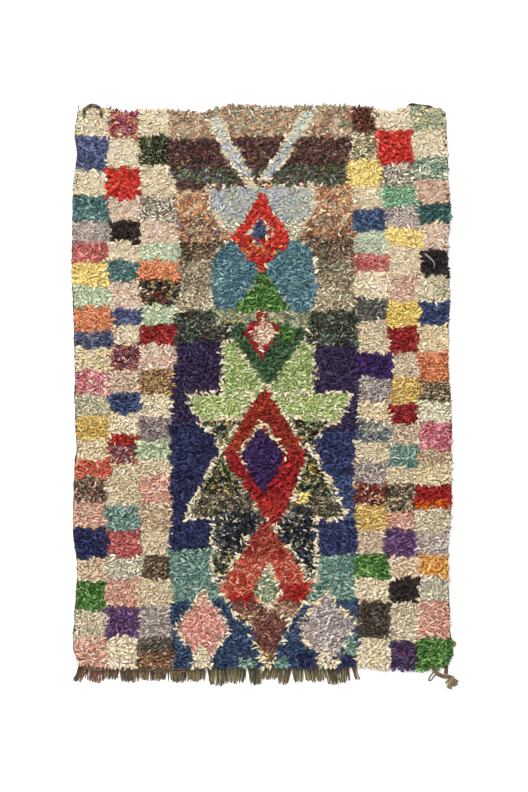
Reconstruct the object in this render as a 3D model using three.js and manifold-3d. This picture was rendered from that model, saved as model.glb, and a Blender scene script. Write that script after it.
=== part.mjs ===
import * as THREE from 'three';
import Module from 'manifold-3d';
import { mergeVertices } from 'three/addons/utils/BufferGeometryUtils.js';

// A boucherouite rug lying flat: a pile of torn rag on a brown wool ground weave, with overcast wool
// sides, a fringe of cut warp ends and loose warp yarns at three corners. Millimetres, +X across the
// rug, +Y towards the end without a fringe, +Z up, underside on z = 0.

const PILE_WIDTH = 1318; // across the pile, from lock tip to lock tip
const PILE_LENGTH = 1970; // along the warp, from lock tip to lock tip
const PILE_HEIGHT = 20; // mean height of the tuft ends above the floor
const RIM_HEIGHT = 18; // height of the pile where it rolls over at the rim
const LUMP_HEIGHT = 4; // how far a bunch of tufts stands above or below the mean
const GAP = 0.3; // clearance between neighbouring pieces

const COLUMNS = 32; // bunches of tufts across the slab, each second one standing up
const ROWS = 48; // bunches of tufts along the slab
const BUNCH_STRAY = 9; // how far a bunch strays from its place in the rows

const LOCK_REACH = 10; // how far a middling lock stands out past the backing
const LOCK_PITCH = 36; // from one lock of the rim to the next
const LOCK_UNDERSIDE = 7; // the locks lap over the selvedge and the fringe strip
const LOCK_WIDTH = 15;
const LOCK_HEIGHT = 9;
const LOCK_ROOT = 7; // depth of a lock's root inside the pile

const SELVEDGE_WIDTH = 6.5;
const SELVEDGE_HEIGHT = 6;
const SELVEDGE_SLACK = 0.55; // how far its overcast turns stand off the backing's wall on average
const SELVEDGE_TAIL = [ // the right selvedge ends in a flat of bare weave beside the corner's twisted warps
  { x: 647, y: -1004.4, wide: 17 }, { x: 649, y: -986, wide: 14 },
];

const STRIP_WIDTH = 6; // last wefts, which hold the warp ends of the fringe
const STRIP_HEIGHT = 5;
const STRAND_WIDTH = 8.5;
const STRAND_HEIGHT = 4.6;
const FRINGE_START = -640; // left end of the fringe strip
const FRINGE_END = 332; // right end of the fringe strip

// Outlines of yarns and locks across their run: side -1 to 1 of the half width, up 0 to 1 of the height
const FLAT_SECTION = [[-1, 0], [1, 0], [0.7, 1], [-0.7, 1]];
const ROUND_SECTION = [[-0.6, 0], [0.6, 0], [1, 0.5], [0.6, 1], [-0.6, 1], [-1, 0.5]];

// How far each edge of the pile wanders outwards from a true rectangle, at places along that edge
const LEFT_EDGE = [
  { at: -985, out: -16 }, { at: -920, out: 4 }, { at: -745, out: -6 }, { at: -640, out: -10 },
  { at: -500, out: 4 }, { at: -290, out: 0 }, { at: -220, out: -9 }, { at: -10, out: -3 },
  { at: 270, out: 1 }, { at: 410, out: 8 }, { at: 690, out: 5 }, { at: 830, out: -9 },
  { at: 900, out: -3 }, { at: 985, out: -14 },
];
const RIGHT_EDGE = [
  { at: -985, out: -4 }, { at: -920, out: 14 }, { at: -850, out: 1 }, { at: -570, out: -3 },
  { at: -430, out: 7 }, { at: -150, out: 8 }, { at: 130, out: -3 }, { at: 340, out: 1 },
  { at: 480, out: -6 }, { at: 620, out: 5 }, { at: 760, out: -3 }, { at: 985, out: -14 },
];
const TOP_EDGE = [
  { at: -659, out: -8 }, { at: -550, out: -4 }, { at: -500, out: -14 }, { at: -350, out: -7 },
  { at: -210, out: -17 }, { at: -100, out: 7 }, { at: 80, out: 0 }, { at: 240, out: 7 },
  { at: 350, out: 3 }, { at: 470, out: -14 }, { at: 540, out: 2 }, { at: 659, out: -8 },
];
const BOTTOM_EDGE = [
  { at: -659, out: -9 }, { at: -560, out: 0 }, { at: 280, out: 0 }, { at: 350, out: -5 },
  { at: 420, out: 10 }, { at: 460, out: 5 }, { at: 570, out: 13 }, { at: 659, out: -6 },
];

// Bunches of the fringe, left to right: where the bunch is rooted, its strands, how far they reach
// past the strip and how far their tips lean to the right
const FRINGE_BUNCHES = [
  { from: -636, to: -606, strands: 3, reach: 47, lean: -26 },
  { from: -602, to: -552, strands: 5, reach: 46, lean: -9 },
  { from: -545, to: -503, strands: 4, reach: 34, lean: -3 },
  { from: -492, to: -430, strands: 5, reach: 42, lean: 2 },
  { from: -422, to: -330, strands: 8, reach: 38, lean: -2 },
  { from: -322, to: -276, strands: 4, reach: 45, lean: 3 },
  { from: -268, to: -196, strands: 6, reach: 40, lean: -2 },
  { from: -184, to: -128, strands: 5, reach: 54, lean: 1 },
  { from: -120, to: -56, strands: 6, reach: 47, lean: -3 },
  { from: -44, to: -6, strands: 4, reach: 52, lean: 8 },
  { from: 8, to: 60, strands: 4, reach: 34, lean: -7 },
  { from: 72, to: 104, strands: 3, reach: 50, lean: -12 },
  { from: 114, to: 142, strands: 3, reach: 46, lean: 4 },
  { from: 152, to: 214, strands: 6, reach: 42, lean: 5 },
  { from: 224, to: 268, strands: 4, reach: 52, lean: 12 },
  { from: 278, to: 306, strands: 3, reach: 44, lean: 2 },
  { from: 320, to: 328, strands: 1, reach: 40, lean: 14 },
];

// A doubled warp yarn that springs out of the pile at the top left corner and back into it
const LOOP = { x: -591, y: 956, halfSpan: 31, rise: 31, from: -20, to: 200, steps: 10, leg: 7, crown: 12 };

// A dark warp end that lies along the top edge at the right corner and hooks back into the pile
const WARP_END = [
  { x: 602, y: 966, z: 6 }, { x: 594, y: 983, z: 3 }, { x: 572, y: 987, z: 1 }, { x: 548, y: 990, z: 1 },
  { x: 528, y: 993, z: 2 }, { x: 516, y: 987, z: 5 }, { x: 516, y: 975, z: 9 }, { x: 524, y: 965, z: 12 },
];
const WARP_END_WIDTH = 9;

// The last warps of the bottom right corner, twisted together, knotted and left as a tassel
const CORNER_BUNCH = [
  { x: 594, y: -970, wide: 12, high: 8 }, { x: 606, y: -990, wide: 15, high: 10 },
  { x: 620, y: -1005, wide: 17, high: 11 }, { x: 640, y: -1013, wide: 17, high: 12 },
  { x: 658, y: -1014, wide: 17, high: 13 }, { x: 670, y: -1021, wide: 20, high: 13 },
];
const CORNER_STRANDS = [
  { tipX: 643, tipY: -1036 }, { tipX: 650, tipY: -1048 }, { tipX: 658, tipY: -1056 }, { tipX: 666, tipY: -1059 },
  { tipX: 676, tipY: -1050 }, { tipX: 686, tipY: -1042 }, { tipX: 691, tipY: -1031 },
];
const CORNER_STRAND_WIDTH = 8;
const CORNER_LOOP = [
  { x: 612, y: -992 }, { x: 600, y: -1003 }, { x: 589, y: -1018 }, { x: 587, y: -1028 },
  { x: 596, y: -1026 }, { x: 605, y: -1013 }, { x: 618, y: -1002 },
];
const CORNER_LOOP_WIDTH = 5;

const wasm = await Module();
wasm.setup();

/** A repeatable number from 0 to 1 for a seed. */
function chance(seed) {
  const value = Math.sin(seed * 12.9898 + 4.1414) * 43758.5453;
  return value - Math.floor(value);
}

/** The outward drift of an edge at a place along it, eased between the table's rows. */
function drift(edge, at) {
  const next = edge.findIndex((row) => row.at >= at);
  if (next === 0) return edge[0].out;
  if (next < 0) return edge[edge.length - 1].out;
  const [low, high] = [edge[next - 1], edge[next]];
  const ease = THREE.MathUtils.smoothstep(at, low.at, high.at);
  return THREE.MathUtils.lerp(low.out, high.out, ease);
}

/** A point of the backing in plan: u runs left to right and v bottom to top, both 0 to 1. */
function backing(u, v) {
  const halfWidth = PILE_WIDTH / 2 - LOCK_REACH;
  const halfLength = PILE_LENGTH / 2 - LOCK_REACH;
  const alongX = THREE.MathUtils.lerp(-halfWidth, halfWidth, u);
  const alongY = THREE.MathUtils.lerp(-halfLength, halfLength, v);
  const left = -halfWidth - drift(LEFT_EDGE, alongY);
  const right = halfWidth + drift(RIGHT_EDGE, alongY);
  const bottom = -halfLength - drift(BOTTOM_EDGE, alongX);
  const top = halfLength + drift(TOP_EDGE, alongX);
  return { x: THREE.MathUtils.lerp(left, right, u), y: THREE.MathUtils.lerp(bottom, top, v) };
}

/** One corner of the pile's upper face: bunches stand up at every second crossing and sink between. */
function pilePoint(column, row) {
  const plan = backing(column / COLUMNS, row / ROWS);
  const seed = column * 7.3 + row * 91.7;
  const isRim = column === 0 || row === 0 || column === COLUMNS || row === ROWS;
  if (isRim) return [plan.x, plan.y, RIM_HEIGHT + chance(seed) - 0.5];
  const stray = (offset) => BUNCH_STRAY * (2 * chance(seed + offset) - 1);
  const lump = LUMP_HEIGHT * (0.5 + 0.5 * chance(seed));
  const height = (column + row) % 2 ? PILE_HEIGHT - lump : PILE_HEIGHT + lump;
  return [plan.x + stray(11.1), plan.y + stray(23.3), height];
}

/** A closed geometry from flat lists of coordinates and corners. */
function closedGeometry(positions, corners) {
  const geometry = new THREE.BufferGeometry();
  geometry.setAttribute('position', new THREE.Float32BufferAttribute(positions, 3));
  geometry.setIndex(corners);
  return geometry;
}

/** The backing and its pile as one slab: lumpy above, upright at the rim and flat below. */
function slabGeometry() {
  const positions = [];
  const corners = [];
  const at = (column, row) => row * (COLUMNS + 1) + column;
  for (let row = 0; row <= ROWS; row++) {
    for (let column = 0; column <= COLUMNS; column++) {
      positions.push(...pilePoint(column, row));
    }
  }
  for (let row = 0; row < ROWS; row++) {
    for (let column = 0; column < COLUMNS; column++) {
      const [a, b] = [at(column, row), at(column + 1, row)];
      const [c, d] = [at(column + 1, row + 1), at(column, row + 1)];
      if ((row + column) % 2) corners.push(a, b, c, a, c, d);
      else corners.push(a, b, d, b, c, d);
    }
  }
  const rim = [];
  for (let column = 0; column < COLUMNS; column++) rim.push(at(column, 0));
  for (let row = 0; row < ROWS; row++) rim.push(at(COLUMNS, row));
  for (let column = COLUMNS; column > 0; column--) rim.push(at(column, ROWS));
  for (let row = ROWS; row > 0; row--) rim.push(at(0, row));
  const foot = positions.length / 3;
  for (const corner of rim) positions.push(positions[corner * 3], positions[corner * 3 + 1], 0);
  const middle = positions.length / 3;
  positions.push(0, 0, 0);
  rim.forEach((corner, index) => {
    const next = (index + 1) % rim.length;
    corners.push(foot + index, foot + next, rim[next], foot + index, rim[next], corner);
    corners.push(middle, foot + next, foot + index);
  });
  return closedGeometry(positions, corners);
}

/** A yarn or lock along stations of x, y, underside z, width and height, with a given section. */
function yarnGeometry(stations, section) {
  const positions = [];
  const corners = [];
  const sides = section.length;
  stations.forEach((station, index) => {
    const before = stations[Math.max(index - 1, 0)];
    const after = stations[Math.min(index + 1, stations.length - 1)];
    const run = new THREE.Vector2(after.x - before.x, after.y - before.y).normalize();
    for (const [side, up] of section) {
      const aside = (side * station.wide) / 2;
      positions.push(station.x + run.y * aside, station.y - run.x * aside, station.z + up * station.high);
    }
  });
  for (let ring = 0; ring < stations.length - 1; ring++) {
    for (let side = 0; side < sides; side++) {
      const [a, b] = [ring * sides + side, ring * sides + ((side + 1) % sides)];
      corners.push(a, a + sides, b + sides, a, b + sides, b);
    }
  }
  const last = (stations.length - 1) * sides;
  for (let side = 1; side < sides - 1; side++) {
    corners.push(0, side, side + 1, last, last + side + 1, last + side);
  }
  return closedGeometry(positions, corners);
}

/** A geometry as a solid that can be joined and cut. */
function solidOf(geometry) {
  const merged = mergeVertices(geometry);
  return new wasm.Manifold(new wasm.Mesh({
    numProp: 3,
    vertProperties: new Float32Array(merged.attributes.position.array),
    triVerts: new Uint32Array(merged.index.array),
  }));
}

/** A yarn as a solid, swollen all round by a clearance where it is to cut its own seat. */
function yarnSolid(stations, section, clearance = 0) {
  const ends = [stations[0], stations[stations.length - 1]];
  const inner = [stations[1], stations[stations.length - 2]];
  const grown = stations.map((station) => {
    const side = ends.indexOf(station);
    const out = side < 0 ? new THREE.Vector2() : new THREE.Vector2(station.x - inner[side].x, station.y - inner[side].y);
    out.setLength(side < 0 ? 0 : clearance);
    return {
      x: station.x + out.x,
      y: station.y + out.y,
      z: station.z - clearance,
      wide: station.wide + 2 * clearance,
      high: station.high + 2 * clearance,
    };
  });
  return solidOf(yarnGeometry(grown, section));
}

/** Stations of the loop of warp yarn at the top left corner. */
function loopStations() {
  return Array.from({ length: LOOP.steps + 1 }, (_, step) => {
    const turn = THREE.MathUtils.degToRad(THREE.MathUtils.lerp(LOOP.from, LOOP.to, step / LOOP.steps));
    const lift = Math.max(Math.sin(turn), 0);
    return {
      x: LOOP.x + LOOP.halfSpan * Math.cos(turn),
      y: LOOP.y + LOOP.rise * Math.sin(turn),
      z: PILE_HEIGHT - 4 - 6 * lift,
      wide: THREE.MathUtils.lerp(LOOP.leg, LOOP.crown, lift),
      high: 8,
    };
  });
}

/** Stations of the dark warp end at the top right corner. */
function warpEndStations() {
  return WARP_END.map((place) => ({ ...place, wide: WARP_END_WIDTH, high: WARP_END_WIDTH }));
}

/** Stations of the overcast cord along one side, which follows the backing's wall. */
function selvedgeStations(side) {
  const u = side < 0 ? 0 : 1;
  return Array.from({ length: ROWS + 1 }, (_, row) => {
    const wall = backing(u, row / ROWS);
    const wide = SELVEDGE_WIDTH * (0.85 + 0.4 * chance(row * 3.7 + u * 50));
    return { x: wall.x + side * (SELVEDGE_SLACK + wide / 2), y: wall.y, z: 0, wide, high: SELVEDGE_HEIGHT };
  });
}

/** Stations of the bare weave that carries the right selvedge on past the pile's corner. */
function selvedgeTail() {
  return SELVEDGE_TAIL.map((place) => ({ ...place, z: 0, high: SELVEDGE_HEIGHT }));
}

/** Where a lock of the rim stands: its root on the wall, its outward direction and its size. */
function rimLocks() {
  const locks = [];
  const sides = [
    { name: 'bottom', length: PILE_WIDTH, place: (t) => backing(t, 0), outX: 0, outY: -1 },
    { name: 'right', length: PILE_LENGTH, place: (t) => backing(1, t), outX: 1, outY: 0 },
    { name: 'top', length: PILE_WIDTH, place: (t) => backing(t, 1), outX: 0, outY: 1 },
    { name: 'left', length: PILE_LENGTH, place: (t) => backing(0, t), outX: -1, outY: 0 },
  ];
  for (const side of sides) {
    const count = Math.round(side.length / LOCK_PITCH);
    for (let index = 0; index < count; index++) {
      const seed = locks.length + 1;
      const root = side.place((index + 0.5 + 0.3 * (chance(seed) - 0.5)) / count);
      const turn = (chance(seed * 2.3) - 0.5) * 0.9;
      const reach = LOCK_REACH * (0.75 + 0.55 * chance(seed * 5.1));
      const away = new THREE.Vector2(side.outX, side.outY).rotateAround(new THREE.Vector2(), turn);
      locks.push({ side: side.name, root, away, reach, width: LOCK_WIDTH * (0.8 + 0.4 * chance(seed * 9.7)) });
    }
  }
  return locks;
}

/** True where a loose yarn leaves the pile, so that no lock of the rim stands there. */
function isYarnPlace(lock) {
  if (lock.side === 'top') return Math.abs(lock.root.x - LOOP.x) < 48 || Math.abs(lock.root.x - 560) < 62;
  return lock.side === 'bottom' && lock.root.x > 575;
}

/** Stations of one lock, from its root in the pile to its tip. */
function lockStations({ root, away, reach, width }) {
  const at = (distance, wide, high) => ({
    x: root.x + away.x * distance, y: root.y + away.y * distance, z: LOCK_UNDERSIDE, wide, high,
  });
  return [at(-LOCK_ROOT, width, LOCK_HEIGHT), at(reach, width * 0.45, LOCK_HEIGHT * 0.5)];
}

/** The pile on its backing, with locks at the rim and a seat for each yarn that enters it. */
function pileSlab() {
  let slab = solidOf(slabGeometry());
  for (const lock of rimLocks().filter((each) => !isYarnPlace(each))) {
    slab = slab.add(yarnSolid(lockStations(lock), FLAT_SECTION));
  }
  slab = slab.subtract(yarnSolid(loopStations(), ROUND_SECTION, GAP));
  slab = slab.subtract(yarnSolid(warpEndStations(), ROUND_SECTION, GAP));
  return slab.subtract(yarnSolid(cornerStations(), ROUND_SECTION, GAP));
}

/** Stations of the narrow strip of weft that holds the fringe, beside the backing's bottom wall. */
function stripStations() {
  const steps = Array.from({ length: COLUMNS + 1 }, (_, column) => backing(column / COLUMNS, 0));
  return steps
    .filter((wall) => wall.x > FRINGE_START - 5 && wall.x < FRINGE_END + 25)
    .map((wall) => ({ x: wall.x, y: wall.y - GAP - STRIP_WIDTH / 2, z: 0, wide: STRIP_WIDTH, high: STRIP_HEIGHT }));
}

/** Stations of one strand of the fringe, which lies level on the floor. */
function strandStations(bunch, index) {
  const share = bunch.strands > 1 ? index / (bunch.strands - 1) : 0.5;
  const x = THREE.MathUtils.lerp(bunch.from, bunch.to, share);
  const halfLength = PILE_LENGTH / 2 - LOCK_REACH;
  const y = -halfLength - drift(BOTTOM_EDGE, x) - GAP - STRIP_WIDTH / 2;
  const reach = bunch.reach * (0.86 + 0.2 * chance(x * 0.37));
  const pinch = (0.5 - share) * Math.min(bunch.to - bunch.from, 40) * 0.12;
  const tip = bunch.lean + pinch;
  return [
    { x, y, z: 0, wide: STRAND_WIDTH, high: STRAND_HEIGHT },
    { x: x + tip * 0.4, y: y - reach * 0.55, z: 0, wide: STRAND_WIDTH * 0.95, high: STRAND_HEIGHT },
    { x: x + tip, y: y - reach - STRIP_WIDTH, z: 0, wide: STRAND_WIDTH * 0.45, high: STRAND_HEIGHT * 0.6 },
  ];
}

/** The fringe: cut warp ends in bunches, rooted in their strip. */
function fringe() {
  let solid = yarnSolid(stripStations(), FLAT_SECTION);
  for (const bunch of FRINGE_BUNCHES) {
    for (let index = 0; index < bunch.strands; index++) {
      solid = solid.add(yarnSolid(strandStations(bunch, index), FLAT_SECTION));
    }
  }
  return solid;
}

/** Stations of the twisted warps at the bottom right corner, up to their knot. */
function cornerStations() {
  return CORNER_BUNCH.map((place) => ({ ...place, z: 0 }));
}

/** The corner tassel: twisted warps, a small loop of the same yarn, the knot and its cut ends. */
function cornerTassel() {
  const knot = CORNER_BUNCH[CORNER_BUNCH.length - 1];
  let solid = yarnSolid(cornerStations(), ROUND_SECTION);
  for (const { tipX, tipY } of CORNER_STRANDS) {
    const root = { x: knot.x, y: knot.y, z: 0, wide: CORNER_STRAND_WIDTH, high: 9 };
    const tip = { x: tipX, y: tipY, z: 0, wide: CORNER_STRAND_WIDTH * 0.5, high: 4 };
    solid = solid.add(yarnSolid([root, tip], FLAT_SECTION));
  }
  const loop = CORNER_LOOP.map((place) => ({ ...place, z: 0, wide: CORNER_LOOP_WIDTH, high: 5 }));
  return solid.add(yarnSolid(loop, FLAT_SECTION));
}

/** A solid as a named mesh in its own material. */
function piece(name, solid, finish) {
  const mesh = solid.getMesh();
  const geometry = closedGeometry(Array.from(mesh.vertProperties), Array.from(mesh.triVerts));
  geometry.computeVertexNormals();
  const named = new THREE.Mesh(geometry, new THREE.MeshStandardMaterial({ metalness: 0, ...finish }));
  named.name = name;
  return named;
}

const rag = { color: 0xb9a184, roughness: 0.9 };
const groundWool = { color: 0x6b5640, roughness: 0.95 };
const warpWool = { color: 0x7a6a4c, roughness: 0.95 };
const darkWool = { color: 0x33271c, roughness: 0.95 };

const rug = new THREE.Group();
rug.add(
  piece('pile_slab', pileSlab(), rag),
  piece('selvedge_left', yarnSolid(selvedgeStations(-1), ROUND_SECTION), groundWool),
  piece('selvedge_right', yarnSolid([...selvedgeTail(), ...selvedgeStations(1)], ROUND_SECTION), groundWool),
  piece('warp_fringe', fringe(), warpWool),
  piece('corner_tassel', cornerTassel(), warpWool),
  piece('corner_loop', yarnSolid(loopStations(), ROUND_SECTION), darkWool),
  piece('corner_warp_end', yarnSolid(warpEndStations(), ROUND_SECTION), darkWool),
);

// The origin is under the middle of the whole rug, fringe and loose yarns included
const reach = new THREE.Box3().setFromObject(rug);
const middle = reach.getCenter(new THREE.Vector3());
rug.position.set(-middle.x, -middle.y, -reach.min.z);

export default rug;
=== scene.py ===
"""A boucherouite rug that lies flat on a pale floor, seen from straight above.

The pile is torn rag, knotted into a brown wool ground weave: a checked border of three columns down
each side and a field of lozenges, lobes and stepped shapes between them. Every tuft is a closed strip
of its own shape, coloured from a weaver's chart of named cloths. Lengths are metres, and the chart's are
centimetres: across from the field's middle line, and down from the end without a fringe.
"""

from __future__ import annotations

import logging
import math
from dataclasses import dataclass, field
from enum import Enum

import bpy
import numpy as np
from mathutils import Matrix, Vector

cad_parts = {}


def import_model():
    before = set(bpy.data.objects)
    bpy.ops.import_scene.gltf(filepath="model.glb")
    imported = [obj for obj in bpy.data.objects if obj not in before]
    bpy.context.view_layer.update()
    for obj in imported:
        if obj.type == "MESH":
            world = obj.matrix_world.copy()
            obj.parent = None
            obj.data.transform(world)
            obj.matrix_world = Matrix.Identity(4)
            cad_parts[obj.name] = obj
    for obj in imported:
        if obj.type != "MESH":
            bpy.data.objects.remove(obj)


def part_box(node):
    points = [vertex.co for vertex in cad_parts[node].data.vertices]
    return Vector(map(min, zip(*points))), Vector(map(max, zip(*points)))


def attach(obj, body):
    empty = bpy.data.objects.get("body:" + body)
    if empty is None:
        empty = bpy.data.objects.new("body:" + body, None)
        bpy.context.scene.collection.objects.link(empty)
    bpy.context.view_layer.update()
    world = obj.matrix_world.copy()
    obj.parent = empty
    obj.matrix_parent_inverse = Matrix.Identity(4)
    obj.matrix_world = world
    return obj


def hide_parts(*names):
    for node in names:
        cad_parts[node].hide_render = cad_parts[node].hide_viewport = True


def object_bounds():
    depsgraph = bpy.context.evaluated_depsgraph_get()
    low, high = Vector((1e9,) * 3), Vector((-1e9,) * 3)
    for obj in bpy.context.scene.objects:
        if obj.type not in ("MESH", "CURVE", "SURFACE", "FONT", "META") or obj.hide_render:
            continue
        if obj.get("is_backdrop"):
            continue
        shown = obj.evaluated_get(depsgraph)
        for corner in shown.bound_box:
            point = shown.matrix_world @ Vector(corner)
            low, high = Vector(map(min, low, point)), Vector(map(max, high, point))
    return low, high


LOG = logging.getLogger("rug")
CM = 0.01
MM = 0.001
SEED = 29
DYE_CURVE = 1.05  # a dye's own linear value is the seen shade's to this power,
DYE_GAIN = 1.14  # times this, for the light that is lost in the pile


class Slot(Enum):
    """The record's material slots."""

    PILE = "rag_pile"
    GROUND = "ground_wool"
    WARP = "warp_wool"
    DARK = "dark_wool"


def linear(shade: str) -> tuple[float, float, float]:
    """Turns a six-digit shade into linear red, green and blue.

    Args:
        shade: The shade as six hexadecimal digits, as seen on a screen.

    Returns:
        The three linear values from 0 to 1.
    """
    parts = [int(shade[place : place + 2], 16) / 255 for place in (0, 2, 4)]
    return tuple(part / 12.92 if part <= 0.04045 else ((part + 0.055) / 1.055) ** 2.4 for part in parts)


def wander(across: np.ndarray, down: np.ndarray, size: float, seed: int) -> np.ndarray:
    """A smooth random drift over the rug, the same each time for the same seed.

    Args:
        across: Places across the rug, in the unit of size.
        down: Places along the rug, in the unit of size.
        size: The distance over which the drift changes.
        seed: The seed of the drift.

    Returns:
        The drift at each place, from -1 to 1.
    """
    lattice = np.random.default_rng(seed).uniform(-1, 1, (97, 97))
    x, y = np.asarray(across) / size + 48, np.asarray(down) / size + 48
    column, row = np.floor(x).astype(int), np.floor(y).astype(int)
    right, up = x - column, y - row
    right, up = right * right * (3 - 2 * right), up * up * (3 - 2 * up)
    column, row = column % 96, row % 96
    near = lattice[column, row] * (1 - right) + lattice[column + 1, row] * right
    far = lattice[column, row + 1] * (1 - right) + lattice[column + 1, row + 1] * right
    return near * (1 - up) + far * up


@dataclass(frozen=True)
class Cloth:
    """One kind of torn rag.

    Attributes:
        shades: The shades found in it, parted by spaces; a shade named twice is found twice as often.
        stray: How far single tufts stray from their shade in brightness.
        fleck: The share of each tuft's length that takes another of the shades, as in a print.
        size: The size of its tufts beside a middling one.
    """

    shades: str
    stray: float = 0.12
    fleck: float = 0.0
    size: float = 1.0

    def palette(self) -> np.ndarray:
        """The shades as rows of linear red, green and blue."""
        return np.array([linear(shade) for shade in self.shades.split()]) ** DYE_CURVE * DYE_GAIN


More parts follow.
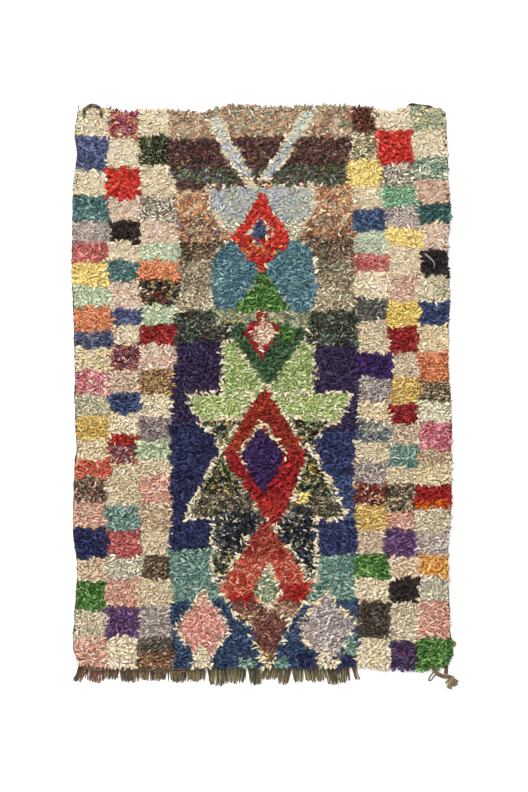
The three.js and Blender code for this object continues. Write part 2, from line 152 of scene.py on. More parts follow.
# Most of these values were worked out by a scratch program and not chosen by hand.
CLOTHS = {
    "cream": Cloth("e2d4b6 e0cfac e6d9c2 ddccaa", 0.036, 0, 1.15),
    "ecru": Cloth("decdae dcc7a4 e2d4b9 d9c5a0", 0.036, 0, 0.94),
    "butter": Cloth("e0cda7 dcc8a0 e3d3b5 dac49c", 0.042, 0, 1.15),
    "yellow": Cloth("ecd287 e8cc7e efd894 e4c776", 0.042, 0, 1.3),
    "amber_yellow": Cloth("e2c672 dec06a e5cb7f daba63", 0.042, 0, 1.3),
    "golden": Cloth("e1c17a dab66b e8cb8c cea659", 0.06, 0, 0.94),
    "mustard": Cloth("dfbe73 d6b263 e8cc87 caa456", 0.072, 0, 1.05),
    "orange": Cloth("e1976c d98c62 e8a982 d07f5b", 0.072, 0, 1.15),
    "golden_orange": Cloth("e6a860 dd9c50 eeb870 cd8e44", 0.072, 0, 1.1),
    "bright_orange": Cloth("c35717 bc4c12 c96b23 ae4310", 0.08, 0, 1.1),
    "coral": Cloth("db8a61 d37d54 e49c76 c36d47", 0.072, 0, 1.05),
    "salmon": Cloth("d9ae99 d3a28a e0c0ad c79179", 0.072, 0, 1),
    "peach": Cloth("e0c9ad dbc09f e4d3bc d6b794", 0.054, 0, 1.1),
    "pale_pink": Cloth("ddc6b0 d9bda5 e2d0bd d3b39a", 0.06, 0, 1.1),
    "blush": Cloth("d9c4aa d5bb9e ddceb6 cfb094", 0.06, 0, 0.94),
    "pink": Cloth("d9bba5 d2ae94 dfcbb9 c69e85", 0.078, 0, 1),
    "rose_pink": Cloth("e0b29d dba48d e7c5b0 cf937d", 0.072, 0, 0.94),
    "lozenge_pink": Cloth("e6ad9f e1a090 eebfb3 d48f7f", 0.072, 0, 0.94),
    "rose": Cloth("cf7f78 c7716b d9938b b95e55 c26962", 0.096, 0, 1),
    "raspberry": Cloth("c87570 c06863 d18882 b2574f bb605b", 0.096, 0, 0.94),
    "magenta_mix": Cloth("da8793 eab9ac ce7587 e7a8a4 f3cbb4 c16677", 0.07, 0.25, 0.95),
    "magenta_pink": Cloth("d17985 da979c c06471 e6b1ac b2525e", 0.08, 0.1, 1.05),
    "red": Cloth("d04337 c8382f d85142 bb2d25 cc3e34", 0.072, 0, 1.35),
    "red_orange": Cloth("cc3a33 c4302b d8644c dc9a4e b82722 8a3040", 0.072, 0.28, 1.1),
    "tomato": Cloth("d66d58 ca5e4a e0846b be513c da9774", 0.084, 0, 1.1),
    "tomato_red": Cloth("af312a a62823 b83c34 9b221a b24638", 0.084, 0, 1.1),
    "tomato_salmon": Cloth("cb5747 d78867 c04b3c de9d7e b54030 ce785f", 0.084, 0.14, 1),
    "tomato_rust": Cloth("ad3d33 b7614c a4342b bd715d 9a2c21 b05645", 0.084, 0.14, 1),
    "brick": Cloth("a23b29 963122 ad4633 89281b 9c3524", 0.078, 0, 1),
    "brick_orange": Cloth("a23b2a b14e34 b95937 963222 aa412a", 0.078, 0, 1),
    "crimson": Cloth("a62a2b 982224 b43837 8b1c1f a12828", 0.084, 0, 1.15),
    "dark_red": Cloth("a23132 952729 af403f 872022", 0.084, 0, 1.1),
    "dark_teal": Cloth("608079 557571 72918b 486863 83a09b", 0.09, 0, 1.1),
    "deep_teal": Cloth("446762 3c605a 527570 335450 5e827d", 0.09, 0, 1.1),
    "sea_teal": Cloth("86a296 789688 98b2a5 648478 acbeb0", 0.102, 0, 0.94),
    "field_teal": Cloth("7f9e92 719284 90ada1 5e8074 a3b9ab", 0.102, 0, 0.94),
    "mint": Cloth("cbd2b3 bdc8a7 d9dcc1 afbc9a", 0.06, 0, 1.15),
    "mint_dim": Cloth("bec6a4 b3be99 ccd0b0 a4b38c", 0.06, 0, 1.15),
    "mint_green": Cloth("9dc39e 8fb892 aed0ad 80a985", 0.078, 0, 0.95),
    "pale_mint": Cloth("bec6ab b6bfa3 c6cdb6 cccbb1", 0.048, 0, 1.05),
    "mint_grey": Cloth("a3bda2 d4d9bd 7e9a83 5c7260 bbcdb1 e4ddc5", 0.07, 0.3, 0.95),
    "grass": Cloth("648d47 588240 759c56 4c7437 86aa67 41672f", 0.108, 0, 0.95),
    "forest": Cloth("4b6748 42603f 5a7655 395536", 0.084, 0, 1),
    "forest_speckle": Cloth("44492f 353721 84846a 4f5531 a8a684 303020 5d6241 404428", 0.096, 0.5, 0.72),
    "forest_mix": Cloth("68634f 475040 7e7a64 795851 566960 627446 64423b 979d99 4f6342", 0.108, 0.3, 0.95),
    "forest_brown": Cloth(
        "4c5545 3a403a 6a6a5c 5e4a40 6f8570 39352f 9a9a84 4a5a4c 302e2a", 0.12, 0.4, 0.85
    ),
    "lime": Cloth("b0c17e a4b770 bdcb8f 97ac64 c9cfa0", 0.066, 0, 0.9),
    "lime_pale": Cloth("c3cf8e b5c47f d1daa1 a7b971 dedeb4", 0.066, 0, 0.9),
    "sage_green": Cloth("a0a986 909d79 b4ba9c 7d8a6b cbc7ac", 0.084, 0, 0.95),
    "sage_cream": Cloth("d6c7aa cac1a2 e0d1b6 beb597", 0.06, 0, 1),
    "sage_dun": Cloth("cfc5a5 c3be9e d9ceb1 b7b293", 0.06, 0, 1),
    "sage_mix": Cloth("b4b18a a7ac91 c9bf94 97aa91 d7c598 bab38c 90a38c", 0.07, 0.15, 1.4),
    "sage_grey": Cloth("d3ceb8 c6c2ac e0dac5 bcbba5 e7dfc7", 0.06, 0, 0.9),
    "mist": Cloth("c9ccbb b9c4b6 d8d6c4 c0c8be e2dcc8", 0.054, 0.21, 1.1),
    "mist_lilac": Cloth("b8b9a7 abb2a2 c5c2af afb2b6 a3a8b2 cfc8b4 b6b9ad", 0.05, 0.2, 1.05),
    "lilac_blue": Cloth("b3b5b9 a9adb5 c0c1c1 9ea4b2 c8c6bf", 0.048, 0, 1.1),
    "lilac_grey": Cloth("c6b7ac bbaba1 d1c4b9 af9f95 dacdc3", 0.078, 0, 0.95),
    "lilac_speckle": Cloth("c6b7ae bbaca5 afa09a cdbfb4 938480", 0.08, 0.15, 0.88),
    "lozenge_lilac": Cloth("cec0b9 c3b4b0 b7a9a5 d6c8c0 9c8d8b", 0.08, 0.15, 0.9),
    "lilac_cream": Cloth("dfc9ae d4bda2 e6d1ba c7b096", 0.054, 0, 1),
    "mauve_grey": Cloth("c1b3a8 b5a79c cbbeb4 a7978f", 0.078, 0, 1),
    "violet": Cloth("74537a 6a4c71 826187 5b3f63", 0.084, 0, 1),
    "royal_violet": Cloth("492c65 3e255c 563770 341d50", 0.08, 0, 1),
    "purple": Cloth("77547e 664770 88658d 593b63", 0.1, 0, 1),
    "purple_mix": Cloth("53355b 482d50 585971 6c456e 3e2e4b 875e7f 444664", 0.102, 0.28, 1),
    "deep_violet": Cloth("473061 3e2956 53396d 36214e", 0.078, 0, 1),
    "aubergine": Cloth("47395a 3e314f 514366 372b46", 0.072, 0, 0.95),
    "denim": Cloth("636b8d 596185 707899 4d5574", 0.078, 0, 1.2),
    "sky": Cloth("638892 577d88 73969e 4b6f7a 85a1a4", 0.09, 0, 0.95),
    "royal_navy": Cloth("536483 495979 5e718e 404e69", 0.09, 0, 1.1),
    "royal": Cloth("41516f 374865 4b5d79 2f3e5a 556987", 0.108, 0, 0.95),
    "navy": Cloth("373b5f 2f3356 40466d 282c4b", 0.084, 0, 1.05),
    "navy_field": Cloth("40466d 373d63 4a537d 2f3556", 0.084, 0, 1.05),
    "navy_denim": Cloth("4d587e 444e73 5a668d 3a4364", 0.09, 0, 1.05),
    "slate_navy": Cloth("626781 565c75 797b91 4b5067 8a8a99", 0.09, 0, 1),
    "steel_mix": Cloth("b6b1a7 49464a fce5c3 808f8f 606069 e3d4bf", 0.07, 0.45, 0.9),
    "steel_blue": Cloth("838b8d 6c777e a09f9a 5a646f", 0.09, 0, 1),
    "black": Cloth("392f2d 322a27 403634 2d2423", 0.06, 0, 1.2),
    "black_print": Cloth(
        "2e2d30 242326 464a54 201f21 a8a28e 303034 dcd4c0 28272a 46507a 3a3a3c 26252a 5a5a5c", 0.07, 0.3, 0.8
    ),
    "floral_print": Cloth("2c2423 695730 394630 883830 292323 c5a966 483856 c5b698 39312c", 0.07, 0.2, 0.8),
    "garden_print": Cloth(
        "1f211b e0d2b2 29332a d0b468 22261f 749a70 2f342b a39a7a 2a2f42 b09550 1c1e1a 4a5a50", 0.07, 0.3, 0.8
    ),
    "olive_print": Cloth(
        "665c4a 48453c a0957a 3e3b33 bcae8e 766050 505044 36332e c8bc98", 0.084, 0.5, 0.82
    ),
    "dark_speckle": Cloth("78735e 9e6156 555045 bfac91 8d504d 69735e e2c7ab 454239 af8470", 0.07, 0.5, 0.8),
    "charcoal": Cloth("7d6f62 6e6154 928373 5e5448", 0.084, 0, 0.95),
    "charcoal_mauve": Cloth("a69690 928380 b9a9a0 7d6e6d", 0.08, 0, 1),
    "cocoa": Cloth("615548 574a41 706357 493f37", 0.09, 0, 0.95),
    "dark_grey": Cloth("79766e 67635e 8e8a80 58554f", 0.09, 0.1, 0.95),
    "dark_brown": Cloth("776550 63523b 8c7b64 52422e a79475", 0.108, 0.35, 0.8),
    "brown_mix": Cloth("ddc19e 4d4639 8f7c64 ecd0af 5f5443 362f26 ab9473", 0.07, 0.5, 0.85),
    "pepper_brown": Cloth("a89473 584a35 d3c19f 3b3224 857356 bfab8a", 0.07, 0.6, 0.75),
    "tan_mix": Cloth("b78d61 876947 dab381 69523b c99e6f 9c7752 e7c596", 0.08, 0.5, 0.8),
    "tan_pink": Cloth("c49c80 a87860 d8b898 b88870 9a6c58", 0.08, 0.3, 0.85),
    "tan": Cloth("cdb596 c4aa87 d6c3a9 b89c78", 0.072, 0, 1),
    "maroon_print": Cloth("704739 5c362a 8c5747 4d3d2e 7e5e4b 5e312c 9d6e54", 0.08, 0.3, 0.9),
    "maroon_mix": Cloth(
        "65483f 543a34 74504a 4b3a34 806050 7c4644 423a34 8c7464 58434e 634338", 0.1, 0.25, 1.0
    ),
    "maroon": Cloth("85514a 784641 976158 663b36 a5816f", 0.096, 0, 1),
    "maroon_cream": Cloth("883435 652a28 d9a789 984444 532722 78302d efc7a1", 0.07, 0.45, 0.85),
    "plum_print": Cloth("77475f b15b4c d7bfaf 583950 c07358 865070 9a4548 d0a187 493144", 0.07, 0.4, 0.9),
    "rust_print": Cloth(
        "b9835c dcccad 8e533c cc9a6c 685662 aaa68b d4b18b a66245 c19a73 85624d", 0.08, 0.25, 1.0
    ),
    "amber_print": Cloth("b07952 655546 cea678 463c34 bf8c62 86735f d6be9b 985541", 0.07, 0.5, 0.8),
    "orange_print": Cloth(
        "c88e64 e6cca4 b07050 dca878 8c7264 ecdcbc cc8a5c b8a488 d8b890 a4684f", 0.08, 0.25, 1.05
    ),
    "sand_print": Cloth(
        "d0b696 a88264 c8ae8c 9aa286 e0ceb2 b07860 c4ac90 d4a88a 8a9a88 b49070", 0.08, 0.25, 1.05
    ),
    "red_print": Cloth(
        "b8414d c75c58 853140 d79a80 674b74 deb358 a0394b 4c4b80 c77280 dec4a0", 0.078, 0.5, 1
    ),
    "taupe": Cloth("9c8d75 cbbb9e ddd2b6 776955 b9aa8e d0c5a9 aa9a7f 887b64", 0.09, 0.45, 0.75),
    "taupe_mix": Cloth("d6cbb7 9e9281 eae1cc 6b5f52 c1b5a1 ece3cf 847869", 0.08, 0.4, 0.85),
    "sand_taupe": Cloth("beac8e e0d3b3 f3e8cd 97886e cdbb9b ac9b82 d9caaa a6977b", 0.078, 0.45, 0.78),
    "brown_grey": Cloth("675647 97846e c5b397 483d31 847258 ab7b61 af9b7f 56493c", 0.102, 0.5, 0.78),
    "grey_beige": Cloth("f7e4bc a8977c fcf0cd 716651 d3c29b e9d8ac 887a60", 0.08, 0.4, 0.85),
    "greige": Cloth("ddc4ab d3b89e e7d0b9 c6ab90", 0.07, 0.15, 0.95),
    "mushroom": Cloth("d4bb9d cbaf90 ddc8aa bea483", 0.07, 0.3, 0.94),
    "natural": Cloth("ddcfb3 d3c4a8 e6d8bf c9b99d", 0.06, 0, 0.94),
    "ivory": Cloth("e7dcc0 dcd0b5 eee5cd d1c4a8", 0.06, 0, 1),
    "silver": Cloth("d8ceb8 cdc2ab e3dac5 beb39e", 0.066, 0, 0.95),
    "salt_pepper": Cloth("f9e8cf 695c53 e7d4bd a0907f f9f0dc 796c60 cbbaa2", 0.078, 0.6, 0.72),
    "beige": Cloth("e0d0b0 dac7a7 e6d7bd d2be9c", 0.06, 0, 1.05),
    "wheat": Cloth("e6d2af dfcba6 ebdabb d7c29c", 0.06, 0, 1.05),
    "pink_cream": Cloth("e8cdb2 e2bfa4 eedac2 d0786a e6c8aa", 0.054, 0.14, 0.9),
    "confetti": Cloth("b6b89f 7c967d a8a57f 9b8f6d c0c5ad 62806b b6ae74 8d7966", 0.08, 0.2, 1.0),
}


@dataclass(frozen=True)
class Shape:
    """A shape of the chart, placed in centimetres; x is across from the middle line.

    Attributes:
        x: The shape's own middle line.
        top: Its upper end, down from the rug's plain end.
        foot: Its lower end.
    """

    x: float
    top: float
    foot: float

    def cover(self, x: np.ndarray, down: np.ndarray, rim: float = 0.0) -> np.ndarray:
        """Tells which places the shape covers.

        Args:
            x: Places across from the middle line.
            down: Places down from the plain end.
            rim: How far the shape is grown all round.

        Returns:
            True for each place that it covers.
        """
        raise NotImplementedError


@dataclass(frozen=True)
class Kite(Shape):
    """A lozenge whose widest row may lie above or below its middle.

    Attributes:
        wide: The widest row, down from the plain end.
        half: Half of its greatest width.
        upper: How its sides bow above that row: 1 is straight, less is fuller.
        lower: The same below it.
        lean: How far its foot lies aside.
    """

    wide: float = 0.0
    half: float = 0.0
    upper: float = 1.0
    lower: float = 1.0
    lean: float = 0.0

    def cover(self, x: np.ndarray, down: np.ndarray, rim: float = 0.0) -> np.ndarray:
        """Tells which places the lozenge covers; see Shape."""
        rise, drop = self.wide - self.top, self.foot - self.wide
        half = self.half + rim * math.hypot(1, self.half / min(rise, drop))
        above = (down - self.top + rim * math.hypot(1, rise / self.half)) / (rise + rim)
        below = (self.foot + rim * math.hypot(1, drop / self.half) - down) / (drop + rim)
        above, below = np.clip(above, 0, 1) ** self.upper, np.clip(below, 0, 1) ** self.lower
        share = np.where(down < self.wide, above, below)
        middle = self.x + self.lean * np.clip((down - self.wide) / drop, 0, 1)
        return np.abs(x - middle) < half * share


@dataclass(frozen=True)
class Taper(Shape):
    """A block with level ends, whose half width runs evenly from one end to the other.

    Attributes:
        half_top: Half of its width at the top.
        half_foot: Half of its width at the foot.
    """

    half_top: float = 0.0
    half_foot: float = 0.0

    def cover(self, x: np.ndarray, down: np.ndarray, rim: float = 0.0) -> np.ndarray:
        """Tells which places the block covers; see Shape."""
        share = np.clip((down - self.top) / (self.foot - self.top), 0, 1)
        lean = abs(self.half_foot - self.half_top) / (self.foot - self.top)
        half = self.half_top + (self.half_foot - self.half_top) * share + rim * math.hypot(1, lean)
        return (np.abs(x - self.x) < half) & (down > self.top - rim) & (down < self.foot + rim)


@dataclass(frozen=True)
class Lobe(Shape):
    """A rounded lobe.

    Attributes:
        half: Half of its width.
        fullness: 2 for an ellipse, more for a fuller outline.
    """

    half: float = 0.0
    fullness: float = 2.4

    def cover(self, x: np.ndarray, down: np.ndarray, rim: float = 0.0) -> np.ndarray:
        """Tells which places the lobe covers; see Shape."""
        tall = (self.foot - self.top) / 2
        across = np.abs(x - self.x) / (self.half + rim)
        along = np.abs(down - self.top - tall) / (tall + rim)
        return across**self.fullness + along**self.fullness < 1


@dataclass(frozen=True)
class Arm(Shape):
    """A slanting arm from its top, at x, to its foot.

    Attributes:
        x_foot: Its place across at the foot.
        half: Half of its width along a row, at its top.
        bow: How far its middle bows aside.
        thin: The share of its width that it loses to its foot.
    """

    x_foot: float = 0.0
    half: float = 0.0
    bow: float = 0.0
    thin: float = 0.25

    def cover(self, x: np.ndarray, down: np.ndarray, rim: float = 0.0) -> np.ndarray:
        """Tells which places the arm covers; see Shape."""
        share = (down - self.top) / (self.foot - self.top)
        middle = self.x + (self.x_foot - self.x) * share + self.bow * np.sin(share * math.pi)
        reach = (self.half + rim) * (1 - self.thin * share**2)
        return (np.abs(x - middle) < reach) & (share > 0) & (share < 1)


@dataclass(frozen=True)
class Motif:
    """A shape of the field in its cloths.

    Attributes:
        shape: The shape.
        cloths: Its cloths from top to foot, each with the row at which it ends.
        rim: The width of its outline, none where 0.
        rim_cloth: The outline's cloth.
        gaps: The share of the outline that is left out.
    """

    shape: Shape
    cloths: str
    rim: float = 0.0
    rim_cloth: str = "cream"
    gaps: float = 0.0


def bands(chart: str) -> tuple[list[str], np.ndarray]:
    """Reads a weaver's list of cloths.

    Args:
        chart: Cloths from top to foot, each with the row at which it ends, parted by commas.

    Returns:
        The cloths' names, and the rows at which they end.
    """
    entries = [entry.split() for entry in chart.split(",")]
    return [name for name, _ in entries], np.array([float(end) for _, end in entries])


@dataclass(frozen=True)
class Column:
    """One column of the checked border.

    Attributes:
        name: The column's name.
        blocks: Its blocks from top to foot, each with the row at which it ends.
    """

    name: str
    blocks: str


COLUMNS = (
    Column(
        "left_outer",
        "cream 11, denim 22.5, cream 31, dark_teal 40, mauve_grey 47.5, rose 55, yellow 63.5, "
        "mint 70.5, orange 78.5, slate_navy 84.5, butter 92.5, magenta_mix 101, sage_dun 109, "
        "mustard 116.5, wheat 124, tomato 130, dark_speckle 138.5, salmon 147.5, navy 158, peach 166, "
        "grass 176.5, natural 186, rose_pink 220",
    ),
    Column(
        "left_middle",
        "red_print 11, cream 21.5, red 32, pale_pink 40, black 48, beige 54.5, dark_teal 61, "
        "pale_pink 71, denim 76.5, cream 83, plum_print 92.5, greige 100.5, navy_denim 107.5, "
        "cream 115, tomato_red 118.5, plum_print 124.5, ecru 139.5, sea_teal 148.5, raspberry 157.5, "
        "silver 165.5, rose_pink 175.5, violet 186, cream 220",
    ),
    Column(
        "left_inner",
        "cream 10, forest_speckle 21, beige 32, salt_pepper 40, pale_pink 48, mint 54, orange 61, "
        "floral_print 69.5, mint 76.5, dark_red 83.5, pale_pink 92.5, tan_mix 101.5, cream 109, "
        "charcoal_mauve 117, mint_dim 123.5, ecru 129, rose_pink 139.5, mushroom 148.5, ecru 157.5, "
        "dark_brown 166, ecru 175.5, lilac_speckle 186, charcoal 191, amber_print 220",
    ),
    Column(
        "right_inner",
        "maroon_print 9, grey_beige 19, yellow 28.5, beige 35.5, royal_navy 44, pale_mint 52, "
        "rose 58.5, cream 67.5, dark_grey 75.5, ecru 86, royal_violet 95, lilac_speckle 103.5, "
        "butter 109.5, steel_mix 114, steel_blue 117.5, ecru 124.5, lilac_speckle 132, "
        "maroon_cream 140, golden 148.5, blush 156.5, grass 165.5, cream 174, cocoa 186, cream 220",
    ),
    Column(
        "right_middle",
        "cream 8.5, red 20, taupe_mix 28.5, mint_green 35.5, lilac_grey 42.5, yellow 49.5, beige 59, "
        "pink 68, amber_yellow 77, dark_red 86.5, lilac_cream 94.5, golden 104, dark_red 111, "
        "blush 118.5, sea_teal 126.5, ecru 132.5, brown_mix 142, rose_pink 148.5, purple 158, "
        "peach 165.5, black 174, natural 187, purple_mix 220",
    ),
    Column(
        "right_outer",
        "sage_mix 8.5, cream 17.5, mint_grey 26, pink 34.5, deep_teal 41.5, pale_pink 50, black 59.5, "
        "sage_cream 68.5, navy_denim 76.5, butter 86, coral 96, pepper_brown 103.5, ivory 111, "
        "magenta_pink 120, tan 125, butter 132.5, crimson 138.5, bright_orange 141, sage_cream 149.5, "
        "lilac_grey 157, golden_orange 164.5, silver 173.5, rose_pink 186, grass 220",
    ),
)

SEAMS = (
    (
        "3 -53.5, 26 -55, 36 -53, 43 -53, 50 -54.5, 81 -52, 96 -53.5, 120 -54, 127 -52.5, "
        "134 -55, 143 -55, 152 -54, 169 -55, 190 -54"
    ),
    (
        "3 -43.5, 26 -42.5, 36 -43, 43 -42.5, 57 -43.5, 73 -41.5, 80 -42.5, 126 -43.5, "
        "134 -42.5, 143 -43, 161 -42, 169 -44, 180 -43, 190 -44"
    ),
    (
        "3 -33, 15 -33, 26 -31, 50 -28.5, 57 -29, 64 -28.5, 73 -31, 89 -30.5, 112 -32, "
        "127 -31.5, 134 -32, 143 -31.5, 152 -33, 169 -31.5, 180 -32, 190 -31"
    ),
    (
        "3 31.5, 14 31, 22 29.5, 33 32, 70 33, 80 34, 91 33.5, 106 34, 129 31.5, 153 33.5, "
        "161 32.5, 169 32.5, 180 34, 192 33"
    ),
    (
        "3 39, 24 41.5, 31 41.5, 38 43, 47 44, 54 44, 63 45, 70 44, 80 44, 91 46, 99 45.5, "
        "106 44, 113 46, 122 44, 129 44, 136 42.5, 145 44, 153 42.5, 161 44.5, 192 45"
    ),
    (
        "3 52, 24 53, 47 56.5, 63 55, 91 54.5, 99 56, 106 54, 113 55, 122 55, 129 53.5, "
        "136 54, 145 53, 161 55, 192 54"
    ),
)

FIELD_LEFT = (
    "sand_print 11, maroon_mix 22, forest_mix 27, maroon_mix 29.5, orange_print 37, rust_print 47, "
    "brown_grey 54, taupe 64, sand_taupe 72, forest_brown 83, aubergine 111.5, navy 155, "
    "field_teal 173, royal 220"
)
FIELD_RIGHT = (
    "sand_print 11, maroon_mix 20.5, forest_mix 28, orange_print 38, rust_print 46, brown_grey 54, "
    "taupe 64, sand_taupe 71, forest_brown 84, aubergine 114, navy_field 129, navy_denim 145, "
    "navy_field 157, field_teal 173, royal 220"
)

MOTIFS = (
    Motif(Arm(-16.1, 4.5, 29, x_foot=-2.8, half=1.6, bow=-1.1), "mist 12.5, lilac_blue 25, cream 40", 1.2),
    Motif(Arm(16.5, 1.2, 27, x_foot=0.2, half=1.6, bow=1.0), "mist 14, lilac_blue 25, cream 40", 1.2),
    Motif(Taper(-0.3, 28.4, 35, half_top=17.6, half_foot=17.8), "mist 40", 1.2, gaps=0.5),
    Motif(Taper(0.2, 35, 47.5, half_top=17.6, half_foot=9.5), "mist_lilac 40, sage_grey 60", 1.5, gaps=0.15),
    Motif(Taper(-0.3, 28.4, 35.5, half_top=17.6, half_foot=17.6), "mist_lilac 40"),
    Motif(Taper(-15.0, 30.5, 37.5, half_top=2.4, half_foot=2.6), "lilac_blue 40"),
    Motif(Taper(5.5, 29.0, 34.0, half_top=4.0, half_foot=1.5), "lilac_blue 40"),
    Motif(Taper(-6.5, 28.6, 31.0, half_top=2.0, half_foot=1.0), "lilac_blue 40"),
    Motif(Kite(-0.4, 29.5, 58, wide=46.2, half=10.6, upper=1.1), "red 47.5, red_orange 53, red 70"),
    Motif(Kite(-0.7, 39, 48.5, wide=44.7, half=3.5), "royal_navy 60", 0.9, "butter", 0.5),
    Motif(Lobe(-9.6, 48, 75, half=8.3), "sky 90", 0.8, gaps=0.6),
    Motif(Lobe(10.1, 47, 75.4, half=8.9), "sky 90", 0.8, gaps=0.6),
    Motif(Kite(-0.4, 40, 58, wide=46.2, half=10.6), "red 47.5, red_orange 53, red 70"),
    Motif(Kite(-0.7, 39, 48.5, wide=44.7, half=3.5), "royal_navy 60", 0.9, "butter", 0.5),
    Motif(Taper(8.6, 50, 53.5, half_top=3.0, half_foot=5.0), "sky 90"),
    Motif(Taper(2.3, 83.3, 101.2, half_top=15.6, half_foot=15.9), "lime 120", 1.0, gaps=0.3),
    Motif(Taper(2.4, 101, 110.4, half_top=28.6, half_foot=23.4), "lime_pale 120", 1.1, gaps=0.2),
    Motif(Kite(2.2, 70, 98.8, wide=79.0, half=13.8), "forest 120", 0.9, gaps=0.75),
    Motif(Kite(9.0, 75, 83, wide=79, half=4.6), "grass 90"),
    Motif(Taper(0.0, 71.6, 76.6, half_top=16.5, half_foot=17.0), "confetti 90"),
    Motif(Taper(0.0, 58.5, 72.5, half_top=0.8, half_foot=10.6), "grass 80", 0.6, gaps=0.75),
    Motif(Kite(-0.4, 71.8, 88.6, wide=79.2, half=6.3), "crimson 100"),
    Motif(Kite(0.2, 74, 86.2, wide=79.6, half=4.7), "pink_cream 100"),
    Motif(Taper(0.9, 147, 166, half_top=17.4, half_foot=17.2), "black_print 180", 1.5, gaps=0.25),
    Motif(Taper(1.6, 110, 120.5, half_top=21.8, half_foot=14.8), "garden_print 130", 1.3, gaps=0.3),
    Motif(
        Taper(1.7, 120, 143.6, half_top=14.8, half_foot=27.6),
        "garden_print 135.5, olive_print 160",
        1.4,
        gaps=0.2,
    ),
    Motif(Taper(0.9, 141.6, 150, half_top=17.4, half_foot=17.4), "black_print 180"),
    Motif(Taper(-13.4, 155.5, 164.5, half_top=3.4, half_foot=3.4), "garden_print 180"),
    Motif(
        Kite(0.7, 98.5, 147, wide=121.5, half=14.2, upper=0.85, lower=0.76, lean=4.0),
        "brick 117, brick_orange 121, crimson 138, tomato_red 160",
        0.9,
        gaps=0.5,
    ),
    Motif(Kite(0.0, 110.3, 135.0, wide=121, half=9.4, upper=0.9), "cream 160", gaps=0.35),
    Motif(Kite(0.0, 113.6, 136.4, wide=121, half=8.0, upper=0.85, lower=0.9), "deep_violet 160"),
    Motif(Taper(14.2, 136.0, 139.4, half_top=1.9, half_foot=1.2), "yellow 200"),
    Motif(
        Kite(1.4, 144.5, 184, wide=168.5, half=16.0, upper=0.95, lower=0.5),
        "tomato_rust 158, tomato_salmon 173.3, maroon 177.5, tan_mix 183, maroon 200",
        1.0,
        gaps=0.4,
    ),
    Motif(Taper(10.4, 167.6, 173.2, half_top=5.4, half_foot=5.0), "tomato_red 180"),
    Motif(Taper(-7.4, 170.4, 173.4, half_top=4.4, half_foot=4.0), "tomato_red 180"),
    Motif(Taper(8.3, 173.6, 178.4, half_top=5.5, half_foot=4.0), "tan_pink 200"),
    Motif(Kite(2.0, 175, 196, wide=180.5, half=6.4, lower=0.8), "maroon 191, tan_mix 200", 1.0, gaps=0.55),
    Motif(Kite(2.2, 158.8, 178, wide=170, half=5.1), "cream 200"),
    Motif(Kite(1.7, 162, 174.8, wide=169.5, half=4.9), "sage_green 200"),
    Motif(
        Kite(-20.9, 170, 196, wide=182.8, half=8.8, lower=1.1),
        "salmon 175, lozenge_pink 220",
        0.8,
        gaps=0.35,
    ),
    Motif(Kite(-21.3, 187.5, 200, wide=195, half=3.6), "cream 220"),
    Motif(Kite(23.0, 170.5, 196.5, wide=182, half=9.8), "lozenge_lilac 220", 1.3, gaps=0.3),
    Motif(Kite(22.6, 188.5, 202, wide=196, half=5.2), "cream 220", gaps=0.35),
    Motif(Taper(15.8, 191.5, 200, half_top=3.2, half_foot=3.2), "navy 220"),
    Motif(Taper(30.6, 192.2, 200, half_top=3.0, half_foot=3.0), "navy 220"),
    Motif(Taper(-4.8, 193.4, 198, half_top=3.2, half_foot=3.2), "sea_teal 220"),
    Motif(Taper(6.8, 192.2, 198, half_top=2.2, half_foot=2.2), "sea_teal 220"),
    Motif(Taper(31.0, 185.5, 192.6, half_top=2.2, half_foot=2.2), "sea_teal 220"),
)


